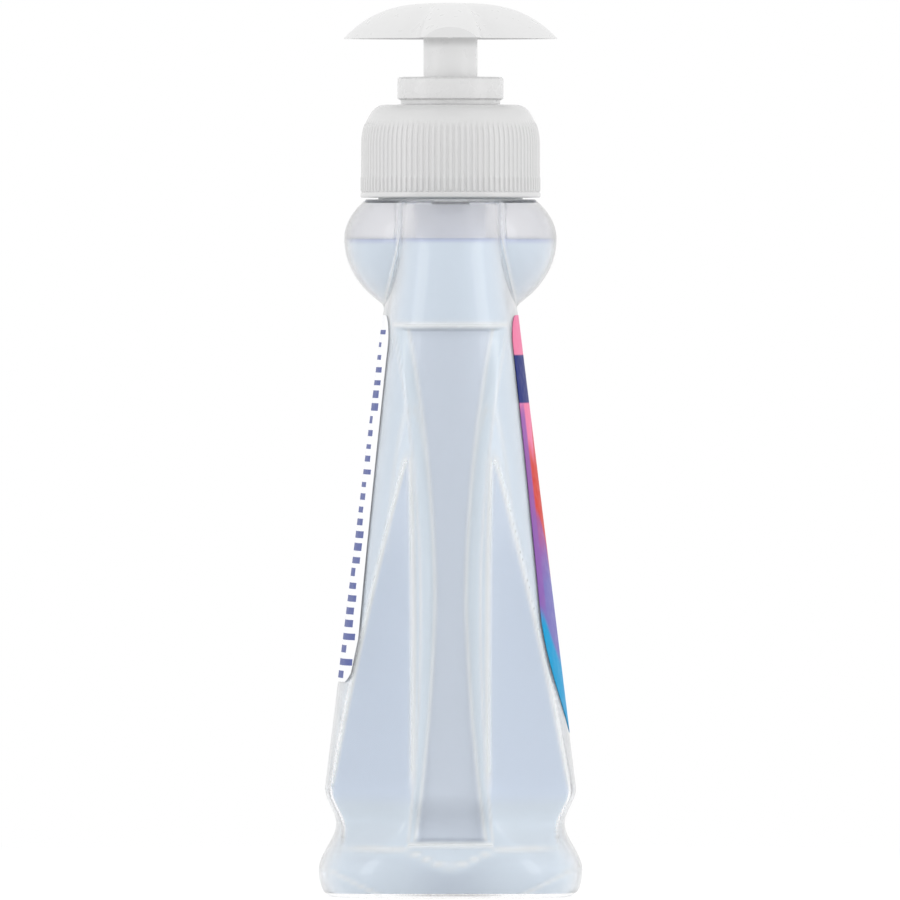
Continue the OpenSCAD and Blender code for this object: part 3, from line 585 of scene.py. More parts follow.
def soap_surface(s):
    """The soap: the cavity up to its level, with a raised edge at the wall, less the pump's room."""
    angle = body_angles(SOAP_COLUMNS)
    inset, gap = s.wall + s.soap_gap, 0.3 * MM
    top = s.body_h - s.soap_drop
    heights = wall_heights(s, s.floor + s.soap_gap, top - 0.01 * MM)
    outer = body_point(s, angle, heights, inset)
    edge = body_point(s, angle, np.full((1, 1), top), inset)
    housing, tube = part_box("pump_housing"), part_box("dip_tube")
    tube_r, socket_low = tube[1].x, housing[0].z
    cage_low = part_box("valve_cage")[0].z
    wide, chamber = 9.45 * MM, 4.9 * MM
    bowl_z = cage_low - 1.4 * MM + 2.2 * MM
    shares = np.array([0.985, 0.965, 0.94, 0.9, 0.8, 0.6])
    drops = 0.45 * MM * np.array([0.35, 0.65, 0.85, 0.95, 1.0, 1.0])
    radius = np.hypot(edge[..., 0], edge[..., 1])
    flat = [np.stack([mix(wide, radius, share) * np.cos(angle), mix(wide, radius, share) * np.sin(angle),
                      0 * radius + top - drop], axis=-1) for share, drop in zip(shares, drops)]
    well = round_rows([(wide, top - 0.45 * MM), (wide, bowl_z), (chamber, bowl_z),
                       (chamber, socket_low - gap), (tube_r + gap, socket_low - gap),
                       (tube_r + gap, tube[0].z - gap)], angle)
    floor = base_rows(s, angle, s.floor + s.soap_gap, inset)
    tones = body_light_and_shade(s, angle, heights, outer, inset)
    after = 1 + len(flat) + len(well)
    return surface("soap_fill", np.concatenate([floor, outer, edge, *flat, well]),
                   poles=([0, 0, s.floor + s.soap_gap + s.push_up], [0, 0, tube[0].z - gap]),
                   attributes={key: spread(tones, key, len(floor), after) for key in tones})


# Labels

def oval_depth(s, x, z):
    """Depth of the rounded front face at a distance from the middle line."""
    return half_depth(s, z) * np.maximum(0, 1 - (np.abs(x) / half_width(s, z)) ** SQUARENESS) \
        ** (1 / SQUARENESS)


def panel_edge(s, z):
    """Distance from the middle line at which the facets start, by halving the span."""
    near, far = np.zeros_like(z), half_width(s, z) * 0.85
    plane, turn = facet_plane(s, z, half_width(s, z), half_depth(s, z)), facet_turn(s, z)
    for _ in range(14):
        middle = (near + far) / 2
        free = (plane - middle * np.cos(turn)) / np.sin(turn) > oval_depth(s, middle, z)
        near, far = np.where(free, middle, near), np.where(free, far, middle)
    return near


def label_half(s, label, z, low, point):
    """Half width of a label: quarter circles at the top, an arc or quarter circles below."""
    top = s.body_h - label.drop

    def corner(depth):
        return np.where(depth > 0, label.corner * (1 - arc(unit(depth / label.corner))), 0)

    taper = arc(unit((low + point - z) / point)) if point > 0 else 1.0
    below = 0 if point > 0 else corner(low + label.corner - z)
    wide = label.width / 2 * taper - corner(z - top + label.corner) - below
    limit = np.where(z > s.facet_top, label.width, panel_edge(s, z) - label.margin)
    return np.maximum(np.minimum(wide, limit), 0.2 * MM)


def label_surface(name, s, label, low, point, facing):
    """Film on the front or back face: columns spread as a sine across it, and both its faces."""
    columns, rows = 40, 90
    top = s.body_h - label.drop
    z = mix(low + 0.15 * MM, top, 0.5 - 0.5 * np.cos(math.pi * np.arange(rows + 1) / rows))[:, None]
    x = label_half(s, label, z, low, point) * np.sin(np.linspace(-math.pi / 2, math.pi / 2, columns + 1))
    inner = oval_depth(s, x, z) + label.film_gap
    outer = inner + label.film
    z = z + 0 * x
    front = np.stack([-facing * x, facing * outer, z], axis=-1)
    back = np.stack([-facing * x, facing * inner, z], axis=-1)[:, ::-1]
    grid = np.concatenate([front, back], axis=1)
    middle = grid[:, [columns // 2, columns // 2 + columns + 1]].mean(axis=1)
    return surface(name, grid, poles=(middle[0], middle[-1]), split=50.0)


# Closure, head and spring

def closure_surface(s, p):
    """The closure as one looped grid: ribbed wall, rounded edge, hole, and inner wall with thread.

    The outline is a quarter ellipse over a straight wall. Each rib adds its depth times a rounded
    step of the distance from its crest, and the thread is cut into the room of the inner wall.
    """
    columns = p.rib_count * 6
    angle = (np.arange(columns) * TURN / columns)[None, :]
    low = s.body_h + p.cap_gap
    under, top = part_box("closure")[1].z - p.cap_top_t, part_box("closure")[1].z
    round_z = top - p.cap_round_h
    rib_low, rib_top = low + p.cap_lip, top - p.rib_drop
    core = p.cap_r - p.rib_depth
    t = np.linspace(0, math.pi / 2, 22)
    wall_z = levels((low + 0.25 * MM, rib_low, 3), (rib_low, rib_low + 0.8 * MM, 4),
                    (rib_low + 0.8 * MM, rib_low + 3 * MM, 2), (rib_low + 3 * MM, rib_low + 3.7 * MM, 5),
                    (rib_low + 3.7 * MM, round_z, 6))[:-1]
    z = np.concatenate([[low], wall_z, round_z + p.cap_round_h * np.sin(t)])
    r = np.concatenate([[core - 0.1 * MM], np.full(len(wall_z), core),
                        core - p.cap_round_r + p.cap_round_r * np.cos(t)])
    step = (angle * p.rib_count / TURN + 0.5) % 1 - 0.5
    crest = ease((0.3 - np.abs(step)) / 0.16)
    lip = ease((rib_low + 0.3 * MM - z) / (0.4 * MM))[:, None]
    bold = mix(0.72, 1.0, ease((rib_low + 3.6 * MM - z) / (0.5 * MM)))
    run = (ease((z - rib_low) / (0.5 * MM)) * ease((rib_top - z) / (1.2 * MM)) * bold)[:, None]
    out = r[:, None] + p.rib_depth * np.maximum(lip, run * crest)
    out[0] -= p.rib_depth * 0.2
    outer = np.stack([out * np.cos(angle), out * np.sin(angle), z[:, None] + 0 * angle], axis=-1)
    hole = p.cap_hole_r
    inner_r = core - p.cap_wall
    flange_r = 14.9 * MM
    flats = [(hole + 0.25 * MM, top), (hole, top - 0.25 * MM), (hole, under), (flange_r, under)]
    bend = np.linspace(math.pi / 2, 0, 7)[1:]
    flats += [(inner_r - (inner_r - flange_r) * (1 - math.cos(b)),
               round_z + (under - round_z) * math.sin(b)) for b in bend]
    flats = np.array(flats)
    flat_rows = np.stack([flats[:, :1] * np.cos(angle), flats[:, :1] * np.sin(angle),
                          flats[:, 1:] + 0 * angle], axis=-1)
    inner_z = np.linspace(round_z - 0.1 * MM, low, 32)[:, None]
    start = s.body_h + s.thread_z - 1.5 * MM
    room = inner_r - (s.neck_r + 0.3 * MM)
    inside = inner_r - thread_ridge(angle, inner_z, start, s.thread_lead, 1.25, room)
    inner = np.stack([inside * np.cos(angle), inside * np.sin(angle), inner_z + 0 * angle], axis=-1)
    return surface("closure_moulding", np.concatenate([outer, flat_rows, inner]), looped=True)


HEAD_POWER = 3.2


def head_reach(p, angle):
    """Reach of the head in a direction: an oval, blended into a narrow spout with a round end."""
    forward, across = -np.cos(angle), np.abs(np.sin(angle))
    oval = 1 / np.sqrt((forward / p.head_back) ** 2 + (across / p.head_half_w) ** 2)
    tip = p.spout_reach - p.spout_half_w
    side = np.where(forward > 0, p.spout_half_w / np.maximum(across, 1e-3), 0)
    nose = np.where(forward > 0, tip * forward
                    + np.sqrt(np.maximum(0, p.spout_half_w ** 2 - (tip * across) ** 2)), 0)
    inside = (forward > 0) & (tip * across < p.spout_half_w) & (nose * forward > tip)
    return soft_max(oval, np.minimum(np.where(inside, nose, side), p.spout_reach), 7 * MM)


def nose_reach(p):
    """Distance from the stem to the flat nose at the spout's tip."""
    return p.spout_reach - p.spout_half_w + math.sqrt(p.spout_half_w ** 2 - p.nose_half_w ** 2)


def head_rows(p, shares, inset, height, rim_z):
    """Rings of the head's dome at shares of its reach.

    The height falls with the share to the power 3.2, and the spout ends in a flat nose.
    """
    u = np.arange(300) * TURN / 300
    angle = (math.pi + u - math.radians(12) * np.sin(u))[None, :]
    share = shares[:, None]
    reach = head_reach(p, angle) - inset
    nose = (nose_reach(p) - inset) / np.maximum(-np.cos(angle), 1e-3)
    reach = np.where(np.cos(angle) < 0, np.minimum(reach, nose), reach)
    r = reach * share
    full = r / (head_reach(p, angle) - inset)
    dome = np.where(share < 1, 1 - full ** HEAD_POWER, 0.0)
    return np.stack([r * np.cos(angle), r * np.sin(angle), rim_z + height * dome], axis=-1)


def cylinder_solid(name, radius, low, high):
    """Closed cylinder on the Z axis."""
    return turned_solid(name, [(0, low), (radius, low), (radius, high), (0, high)])


def laid_forward(piece, height):
    """Turns a solid from the Z axis to the -X axis at a height, in its mesh."""
    co = np.empty(len(piece.data.vertices) * 3, np.float32)
    piece.data.vertices.foreach_get("co", co)
    co = co.reshape(-1, 3)
    laid = np.stack([-co[:, 2], co[:, 1], co[:, 0] + height], axis=-1)
    piece.data.vertices.foreach_set("co", laid.astype(np.float32).ravel())
    piece.data.update()
    return piece


def combined(name, base, joined, cutters):
    """One mesh of the base joined with some solids and cut by others."""
    for operation, tools in (("UNION", joined), ("DIFFERENCE", cutters)):
        for tool in tools:
            modifier = base.modifiers.new(tool.name, "BOOLEAN")
            modifier.operation, modifier.object, modifier.solver = operation, tool, "MANIFOLD"
    bpy.context.view_layer.update()
    graph = bpy.context.evaluated_depsgraph_get()
    mesh = bpy.data.meshes.new_from_object(base.evaluated_get(graph))
    for used in [base, *joined, *cutters]:
        bpy.data.objects.remove(used)
    mesh.name = name
    return shaded(bpy.data.objects.new(name, mesh), 30.0)


def head_surface(p):
    """The head: a thin dome, joined to its skirt and outlet tube, with the bores cut."""
    rim_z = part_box("pump_head")[1].z - p.head_h
    skirt_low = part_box("pump_head")[0].z
    stem_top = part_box("pump_stem")[1].z
    inner_h = p.head_h - p.head_wall
    shares = np.append(np.sin(np.linspace(0.03, 1.555, 46)), 1.0)
    inside = head_rows(p, shares, p.head_wall, inner_h, rim_z)
    outside = head_rows(p, shares, 0.0, p.head_h, rim_z)
    dome = surface("dome", np.concatenate([inside, outside[::-1]]),
                   poles=([0, 0, rim_z + inner_h], [0, 0, rim_z + p.head_h]))
    tube_r = p.outlet_r + p.tube_wall
    channel_z = rim_z + tube_r
    outlet_x = p.spout_reach * (1 - 2 * tube_r / p.head_h) ** (1 / HEAD_POWER) - 0.3 * MM
    skirt = cylinder_solid("skirt", p.skirt_r, skirt_low, rim_z + inner_h + 0.3 * MM)
    channel = laid_forward(cylinder_solid("channel", tube_r, 0.0, outlet_x), channel_z)
    bore = cylinder_solid("bore", p.stem_r + 0.05 * MM, skirt_low - MM, stem_top + 0.05 * MM)
    counter = cylinder_solid("counter", p.stem_r + 1.3 * MM, skirt_low - MM, skirt_low + 4 * MM)
    duct = laid_forward(cylinder_solid("duct", p.outlet_r, 0.0, outlet_x - p.tube_wall), channel_z)
    outlet = cylinder_solid("outlet", p.outlet_r, rim_z - MM, channel_z)
    shift = tube_r - outlet_x
    outlet.data.transform(((1, 0, 0, shift), (0, 1, 0, 0), (0, 0, 1, 0), (0, 0, 0, 1)))
    return combined("pump_head_moulding", dome, [skirt, channel], [bore, counter, duct, outlet])


def spring_surface(p):
    """Round wire carried up a helix, with flat end coils, between the cage and the rod."""
    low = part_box("valve_cage")[1].z + p.wire_r + 0.05 * MM
    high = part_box("piston_rod")[0].z - p.wire_r - 0.05 * MM
    count, sides = 264, 16
    share = np.linspace(0, 1, count + 1)[:, None]
    end = 0.75 / p.spring_turns
    z = mix(low, high, unit((share - end) / (1 - 2 * end)))
    turn = TURN * p.spring_turns * share
    s = (np.arange(sides) * TURN / sides)[None, :]
    r = p.spring_r + p.wire_r * np.sin(s)
    rows = np.stack([r * np.cos(turn), r * np.sin(turn), z + p.wire_r * np.cos(s)], axis=-1)
    ends = [np.array([p.spring_r * np.cos(a), p.spring_r * np.sin(a), h])
            for a, h in ((0.0, low), (TURN * p.spring_turns, high))]
    return surface("return_spring_wire", rows, poles=tuple(ends))


# Materials

def add(tree, kind, inputs=None, **settings):
    """New shader node with its settings, and its inputs given as values or as links."""
    node = tree.nodes.new("ShaderNode" + kind)
    for key, value in settings.items():
        setattr(node, key, value)
    for key, value in (inputs or {}).items():
        if isinstance(value, bpy.types.NodeSocket):
            tree.links.new(value, node.inputs[key])
        else:
            node.inputs[key].default_value = value
    return node


def rgba(colour):
    """Colour with full alpha."""
    return (*colour, 1.0)


def started(name):
    """New material with one Principled shader: the material, its tree, the shader, coordinates."""
    material = bpy.data.materials.new(name)
    material.use_nodes = True
    tree = material.node_tree
    tree.nodes.clear()
    shader = add(tree, "BsdfPrincipled")
    add(tree, "OutputMaterial", {"Surface": shader.outputs["BSDF"]})
    return material, tree, shader, add(tree, "TexCoord").outputs["Object"]


def blended(tree, factor, a, b):
    """Mix of two colours, given as colours or as links."""
    values = {0: factor}
    for slot, value in ((6, a), (7, b)):
        values[slot] = value if isinstance(value, bpy.types.NodeSocket) else rgba(value)
    return add(tree, "Mix", values, data_type="RGBA").outputs[2]


def computed(tree, operation, *values):
    """Result of a Math node."""
    return add(tree, "Math", dict(enumerate(values)), operation=operation).outputs[0]


def ramped(tree, value, low, high, to_low=0.0, to_high=1.0):
    """Value carried from one range to another, with smooth ends."""
    return add(tree, "MapRange", {"Value": value, "From Min": low, "From Max": high,
                                  "To Min": to_low, "To Max": to_high},
               interpolation_type="SMOOTHSTEP").outputs[0]


def noise(tree, coords, scale, detail=2.0, roughness=0.5):
    """Height of a noise texture, its scale in waves a metre."""
    return add(tree, "TexNoise", {"Vector": coords, "Scale": scale, "Detail": detail,
                                  "Roughness": roughness}).outputs[0]


def grain_bump(tree, shader, height, strength, distance):
    """Bump on a shader from a height."""
    bump = add(tree, "Bump", {"Height": height, "Strength": strength, "Distance": distance})
    tree.links.new(bump.outputs[0], shader.inputs["Normal"])


def moulded(name, colour, roughness=0.3, scatter=0.0, grain=0.04, glow=0.0, skirt=None):
    """Moulded plastic: a faint cloud in its colour, wandering gloss and fine grain from the tool.

    glow is painted light: an emission that stands in for light through a translucent wall. skirt is a
    second colour and the height under which it shows, as painted light where the part lies in shade.
    """
    material, tree, shader, coords = started(name)
    cloud = noise(tree, coords, 60, 2)
    deep = tuple(0.98 * v for v in colour)
    base = blended(tree, cloud, deep, colour)
    if skirt:
        up = add(tree, "SeparateXYZ", {"Vector": coords}).outputs["Z"]
        # Painted light: the second colour under the height.
        base = blended(tree, ramped(tree, up, skirt[1] + MM, skirt[1] - MM), base, skirt[0])
    tree.links.new(base, shader.inputs["Base Color"])
    # Painted light: the colour glows.
    if glow:
        tree.links.new(base, shader.inputs["Emission Color"])
        shader.inputs["Emission Strength"].default_value = glow
    wander = noise(tree, coords, 420, 3)
    tree.links.new(ramped(tree, wander, 0.3, 0.7, roughness - 0.03, roughness + 0.03),
                   shader.inputs["Roughness"])
    grain_bump(tree, shader, noise(tree, coords, 3800, 2), grain, 0.02 * MM)
    shader.inputs["IOR"].default_value = 1.49
    shader.inputs["Subsurface Weight"].default_value = scatter
    shader.inputs["Subsurface Radius"].default_value = (1.0, 1.0, 1.0)
    shader.inputs["Subsurface Scale"].default_value = 2 * MM
    return material


def tone(tree, name):
    """Value of a point attribute."""
    return add(tree, "Attribute", attribute_name=name).outputs["Fac"]


def clear_plastic(finish, level, rim):
    """Blown clear plastic: glass-like, with long soft waves and a painted highlight in its creases.

    It is painted greyer above the level of the soap, as painted shade, and painted whiter and less clear
    from just under the rim of the closure upward, as painted light.
    """
    material, tree, shader, coords = started("clear_blown_plastic")
    up = add(tree, "SeparateXYZ", {"Vector": coords}).outputs["Z"]
    # Painted light: the crease highlight, and whitening from just under the closure's rim upward.
    held = computed(tree, "MAXIMUM", computed(tree, "MULTIPLY", tone(tree, "edge_light"), 0.5),
                    ramped(tree, up, rim - 1.0 * MM, rim - 0.2 * MM))
    # Painted shade: greyer wall above the soap.
    dry_shade = ramped(tree, up, level - 0.3 * MM, level + 0.3 * MM)
    wall = blended(tree, dry_shade, finish.clear, finish.clear_dry_shade)
    tree.links.new(blended(tree, held, wall, finish.edge), shader.inputs["Base Color"])
    tree.links.new(computed(tree, "SUBTRACT", 1.0, computed(tree, "MULTIPLY", held, 0.6)),
                   shader.inputs["Transmission Weight"])
    tree.links.new(ramped(tree, noise(tree, coords, 160, 3), 0.3, 0.7, 0.1, 0.15),
                   shader.inputs["Roughness"])
    waves = add(tree, "Mapping", {"Vector": coords, "Scale": (1.0, 1.0, 0.35)}).outputs[0]
    grain_bump(tree, shader, noise(tree, waves, 55, 2), 0.2, 0.2 * MM)
    shader.inputs["IOR"].default_value = 1.42
    return material


def liquid(finish, level):
    """Pale soap with painted light and shade that follow the forms of the wall before it, under a
    painted dark line at its surface.
    """
    material, tree, shader, coords = started("pale_soap")
    up = add(tree, "SeparateXYZ", {"Vector": coords}).outputs["Z"]
    swirl = noise(tree, coords, 28, 2)
    colour = blended(tree, swirl, tuple(0.975 * v for v in finish.soap), finish.soap)
    # Painted light on the bevels, straps and sides.
    colour = blended(tree, tone(tree, "pale_light"), colour, finish.soap_pale_light)
    # Painted shade behind the grips.
    colour = blended(tree, tone(tree, "grip_shade"), colour, finish.soap_grip_shade)
    # Painted shade on the corner facets.
    colour = blended(tree, tone(tree, "facet_shade"), colour, tuple(0.95 * v for v in finish.soap))
    # Painted shade: darker lobes at the foot.
    lobes = computed(tree, "MULTIPLY", tone(tree, "foot_shade"), 0.65)
    colour = blended(tree, lobes, colour, tuple(0.76 * v for v in finish.soap))
    # Painted shade: a darker band at the top of the soap.
    line = computed(tree, "MULTIPLY", ramped(tree, up, level - 1.1 * MM, level - 0.1 * MM), 0.8)
    colour = blended(tree, line, colour, finish.soap_line_shade)
    # Painted highlight along the creases of the wall before the soap.
    held = computed(tree, "MULTIPLY", tone(tree, "edge_light"), 0.95)
    tree.links.new(blended(tree, held, colour, finish.edge), shader.inputs["Base Color"])
    tree.links.new(ramped(tree, noise(tree, coords, 60, 2), 0.3, 0.7, 0.32, 0.42),
                   shader.inputs["Roughness"])
    shader.inputs["IOR"].default_value = 1.34
    shader.inputs["Specular IOR Level"].default_value = 0.2
    return material


def ellipse_mask(tree, coords, x, z, half_x, half_z, turn, soft=0.12):
    """1 inside a turned ellipse on the XZ plane, falling to 0 over a soft rim."""
    moved = add(tree, "Mapping", {"Vector": coords, "Location": (-x * MM, 0.0, -z * MM)}).outputs[0]
    turned_to = add(tree, "Mapping", {
        "Vector": moved, "Rotation": (0.0, math.radians(turn), 0.0),
        "Scale": (1.0, 0.0, 1.0)}).outputs[0]
    sized = add(tree, "Mapping", {
        "Vector": turned_to, "Scale": (1 / (half_x * MM), 0.0, 1 / (half_z * MM))}).outputs[0]
    away = add(tree, "VectorMath", {0: sized}, operation="LENGTH").outputs["Value"]
    return ramped(tree, away, 1.0 + soft, 1.0 - soft)


def film_gloss(tree, shader, coords):
    """Soft gloss of a printed film, with a faint unevenness."""
    tree.links.new(ramped(tree, noise(tree, coords, 500, 2), 0.3, 0.7, 0.38, 0.5),
                   shader.inputs["Roughness"])
    shader.inputs["Specular IOR Level"].default_value = 0.03
    grain_bump(tree, shader, noise(tree, coords, 260, 2), 0.06, 0.03 * MM)


def printed_front(finish, low, top):
    """Front film: fields of colour from blue through coral to pink, soft leaves, a plain panel."""
    material, tree, shader, coords = started("front_print")
    up = add(tree, "SeparateXYZ", {"Vector": coords}).outputs["Z"]
    drift = computed(tree, "SUBTRACT", noise(tree, coords, 55, 2), 0.5)
    drift = computed(tree, "MULTIPLY", drift, 0.022)
    height = computed(tree, "ADD", up, drift)
    fields = add(tree, "ValToRGB", {"Fac": ramped(tree, height, low, top)})
    ramp = fields.color_ramp
    ramp.interpolation = "LINEAR"
    stops = [(0.0, finish.print_blue), (0.3, finish.print_blue), (0.38, finish.print_violet),
             (0.46, finish.print_coral), (0.72, finish.print_coral), (0.8, finish.print_pink),
             (0.95, finish.print_pink)]
    ramp.elements[0].color, ramp.elements[1].color = rgba(stops[0][1]), rgba(stops[-1][1])
    ramp.elements[0].position, ramp.elements[1].position = stops[0][0], stops[-1][0]
    for place, colour in stops[1:-1]:
        ramp.elements.new(place).color = rgba(colour)
    picture = fields.outputs["Color"]
    leaves = [(-16, 66, 9, 17, 28, finish.print_violet), (15, 60, 8, 16, -30, finish.print_blue),
              (11, 48, 6, 11, 20, finish.print_mist), (-9, 90, 7, 12, -24, finish.print_coral),
              (12, 88, 9, 15, 30, finish.print_pink), (0, 76, 10, 10, 0, finish.print_coral),
              (0, 76, 6, 6, 0, finish.print_pink), (0, 76, 2.6, 2.6, 0, finish.print_mist)]
    for x, z, half_x, half_z, turn, colour in leaves:
        mask = ellipse_mask(tree, coords, x, z, half_x, half_z, turn)
        picture = blended(tree, computed(tree, "MULTIPLY", mask, 0.72), picture, colour)
    wide = computed(tree, "ABSOLUTE", add(tree, "SeparateXYZ", {"Vector": coords}).outputs["X"])
    flank = computed(tree, "MULTIPLY", ramped(tree, wide, 20 * MM, 22 * MM),
                     computed(tree, "MULTIPLY", ramped(tree, height, 56 * MM, 64 * MM),
                              ramped(tree, height, 108 * MM, 102 * MM)))
    picture = blended(tree, computed(tree, "MULTIPLY", flank, 0.9), picture, finish.print_violet)
    panel = computed(tree, "MULTIPLY", ramped(tree, up, 104.6 * MM, 105.0 * MM),
                     ramped(tree, up, 115.2 * MM, 114.8 * MM))
    picture = blended(tree, panel, picture, finish.print_navy)
    tree.links.new(picture, shader.inputs["Base Color"])
    film_gloss(tree, shader, coords)
    return material


def printed_back(finish):
    """Back film: pale ground with rows of plain bars, as blank lines of print."""
    material, tree, shader, coords = started("back_print")
    split = add(tree, "SeparateXYZ", {"Vector": coords})
    up, across = split.outputs["Z"], split.outputs["X"]
    place = computed(tree, "DIVIDE", up, 2.7 * MM)
    row, number = computed(tree, "FRACT", place), computed(tree, "FLOOR", place)
    random = add(tree, "TexWhiteNoise", {"W": number}, noise_dimensions="1D")
    start, end, weight = add(tree, "SeparateColor", {"Color": random.outputs["Color"]}).outputs[:3]
    thick = computed(tree, "MULTIPLY_ADD", weight, 0.3, 0.45)
    bar = computed(tree, "MULTIPLY", computed(tree, "GREATER_THAN", row, 0.2),
                   computed(tree, "LESS_THAN", row, computed(tree, "ADD", thick, 0.1)))
    first = computed(tree, "MULTIPLY_ADD", start, 7 * MM, -23 * MM)
    last = computed(tree, "MULTIPLY_ADD", end, 12 * MM, 8 * MM)
    inside = computed(tree, "MULTIPLY", computed(tree, "LESS_THAN", across, last),
                      computed(tree, "GREATER_THAN", across, first))
    block = computed(tree, "MULTIPLY", computed(tree, "GREATER_THAN", up, 46 * MM),
                     computed(tree, "LESS_THAN", up, 121 * MM))
    ink = computed(tree, "MULTIPLY", computed(tree, "MULTIPLY", bar, inside), block)
    tree.links.new(blended(tree, computed(tree, "MULTIPLY", ink, 0.9), finish.back_white,
                           finish.back_ink), shader.inputs["Base Color"])
    film_gloss(tree, shader, coords)
    return material


def drawn_steel(name, colour, stretch):
    """Bright steel with fine lines along its drawing direction."""
    material, tree, shader, coords = started(name)
    lines = add(tree, "Mapping", {"Vector": coords, "Scale": stretch}).outputs[0]
    fine = noise(tree, lines, 2600, 2)
    tree.links.new(blended(tree, fine, tuple(0.9 * v for v in colour), colour),
                   shader.inputs["Base Color"])
    tree.links.new(ramped(tree, fine, 0.3, 0.7, 0.2, 0.34), shader.inputs["Roughness"])
    shader.inputs["Metallic"].default_value = 1.0
    return material


def foam(name, colour):
    """Closed-cell foam: small cells in its colour and bump, fully dull."""
    material, tree, shader, coords = started(name)
    cells = add(tree, "TexVoronoi", {"Vector": coords, "Scale": 2200.0}).outputs["Distance"]
    tree.links.new(blended(tree, cells, colour, tuple(0.88 * v for v in colour)),
                   shader.inputs["Base Color"])
    shader.inputs["Roughness"].default_value = 0.85
    grain_bump(tree, shader, cells, 0.4, 0.05 * MM)
    return material


def finished(piece, material):
    """Gives a piece its material, in one material slot."""
    piece.data.materials.clear()
    piece.data.materials.append(material)
    return piece


# Operators

class BuildBottle(bpy.types.Operator):
    """Build the blown bottle over its CAD node."""

    bl_idname = "soap_bottle.build_bottle"
    bl_label = "Bottle"

    def execute(self, context):
        scene = context.scene
        shell = bottle_surface(scene.bottle_sizes)
        level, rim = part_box("liquid_soap")[1].z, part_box("closure")[0].z
        finished(shell, clear_plastic(scene.bottle_finishes, level, rim))
        shell.visible_shadow = False
        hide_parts("bottle")
        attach(shell, "container")
        return {"FINISHED"}


class BuildSoap(bpy.types.Operator):
    """Build the soap inside the bottle."""

    bl_idname = "soap_bottle.build_soap"
    bl_label = "Soap"

    def execute(self, context):
        scene = context.scene
        sizes = scene.bottle_sizes
        fill = soap_surface(sizes)
        finished(fill, liquid(scene.bottle_finishes, sizes.body_h - sizes.soap_drop))
        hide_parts("liquid_soap")
        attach(fill, "container")
        return {"FINISHED"}


class BuildLabels(bpy.types.Operator):
    """Build the front and back label films."""

    bl_idname = "soap_bottle.build_labels"
    bl_label = "Labels"

    def execute(self, context):
        scene = context.scene
        s, label, finish = scene.bottle_sizes, scene.label_sizes, scene.bottle_finishes
        top = s.body_h - label.drop
        front = label_surface("front_label_film", s, label, label.front_low, label.front_point, -1)
        finished(front, printed_front(finish, label.front_low, top))
        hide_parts("front_label")
        back = label_surface("back_label_film", s, label, label.back_low, 0.0, 1)
        finished(back, printed_back(finish))
        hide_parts("back_label")
        for piece in (front, back):
            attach(piece, "container")
        return {"FINISHED"}


class BuildClosure(bpy.types.Operator):
    """Build the ribbed screw closure."""

    bl_idname = "soap_bottle.build_closure"
    bl_label = "Closure"

    def execute(self, context):
        scene = context.scene
        closure = closure_surface(scene.bottle_sizes, scene.pump_sizes)
        plastic = moulded("closure_plastic", scene.bottle_finishes.white, 0.24)
        finished(closure, plastic)
        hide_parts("closure")
        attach(closure, "cap")
        return {"FINISHED"}


class BuildHead(bpy.types.Operator):
    """Build the pump head with its spout."""

    bl_idname = "soap_bottle.build_head"
    bl_label = "Pump head"

    def execute(self, context):
        scene = context.scene
        head = head_surface(scene.pump_sizes)
        finish = scene.bottle_finishes
        # Painted light: the head's skirt below its top takes the stem's white, out of the head's shade.
        plastic = moulded("head_plastic", finish.head, 0.3, grain=0.015,
                          skirt=(finish.stem, LIT_SKIRT_TOP))
        finished(head, plastic)
        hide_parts("pump_head")
        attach(head, "plunger")
        return {"FINISHED"}


class BuildSpring(bpy.types.Operator):
    """Build the return spring between the valve cage and the piston rod."""

    bl_idname = "soap_bottle.build_spring"
    bl_label = "Return spring"

    def execute(self, context):
        scene = context.scene
        p = scene.pump_sizes
        spring = spring_surface(p)
        finished(spring, drawn_steel("spring_wire", scene.bottle_finishes.steel, (1, 1, 1)))
        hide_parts("return_spring")
        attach(spring, "pump")
        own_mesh(spring)
        return {"FINISHED"}


class FinishPump(bpy.types.Operator):
    """Give the CAD nodes of the pump their materials."""

    bl_idname = "soap_bottle.finish_pump"
    bl_label = "Pump parts"

    def execute(self, context):
        finish = context.scene.bottle_finishes
        materials = {
            "lock_collar": moulded("collar_plastic", finish.collar, 0.28, grain=0.015),
            "pump_stem": moulded("stem_plastic", finish.stem, 0.25),
            # Painted light: the housing glows a little, for light through its wall.
            "pump_housing": moulded("housing_plastic", finish.natural, 0.4, glow=0.14),
            "piston_rod": moulded("rod_plastic", finish.natural, 0.4),
            "valve_cage": moulded("cage_plastic", finish.natural, 0.4),
            "dip_tube": moulded("tube_plastic", finish.natural, 0.3, scatter=0.3),
            "piston_seal": moulded("seal_plastic", finish.seal, 0.45),
            "neck_gasket": foam("gasket_foam", finish.foam),
            "check_ball": drawn_steel("ball_steel", finish.steel, (1, 1, 0.1)),
        }
        for node, material in materials.items():
            finished(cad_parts[node], material)
        return {"FINISHED"}


FLOOR_REACH = 6.0
SIDE_POWER = 3.4
TOP_POWER = 0.8
VIEW_DISTANCE = 5.0
VIEW_TILT = math.radians(0.4)
VIEW_HEIGHT = 94.7 * MM
PIXEL = 0.2128 * MM


def seen_ray(tree):
    """1 for rays that come from the camera, a mirror or glass."""
    path = add(tree, "LightPath")
    either = computed(tree, "MAXIMUM", path.outputs["Is Camera Ray"], path.outputs["Is Glossy Ray"])
    return computed(tree, "MAXIMUM", either, path.outputs["Is Transmission Ray"])


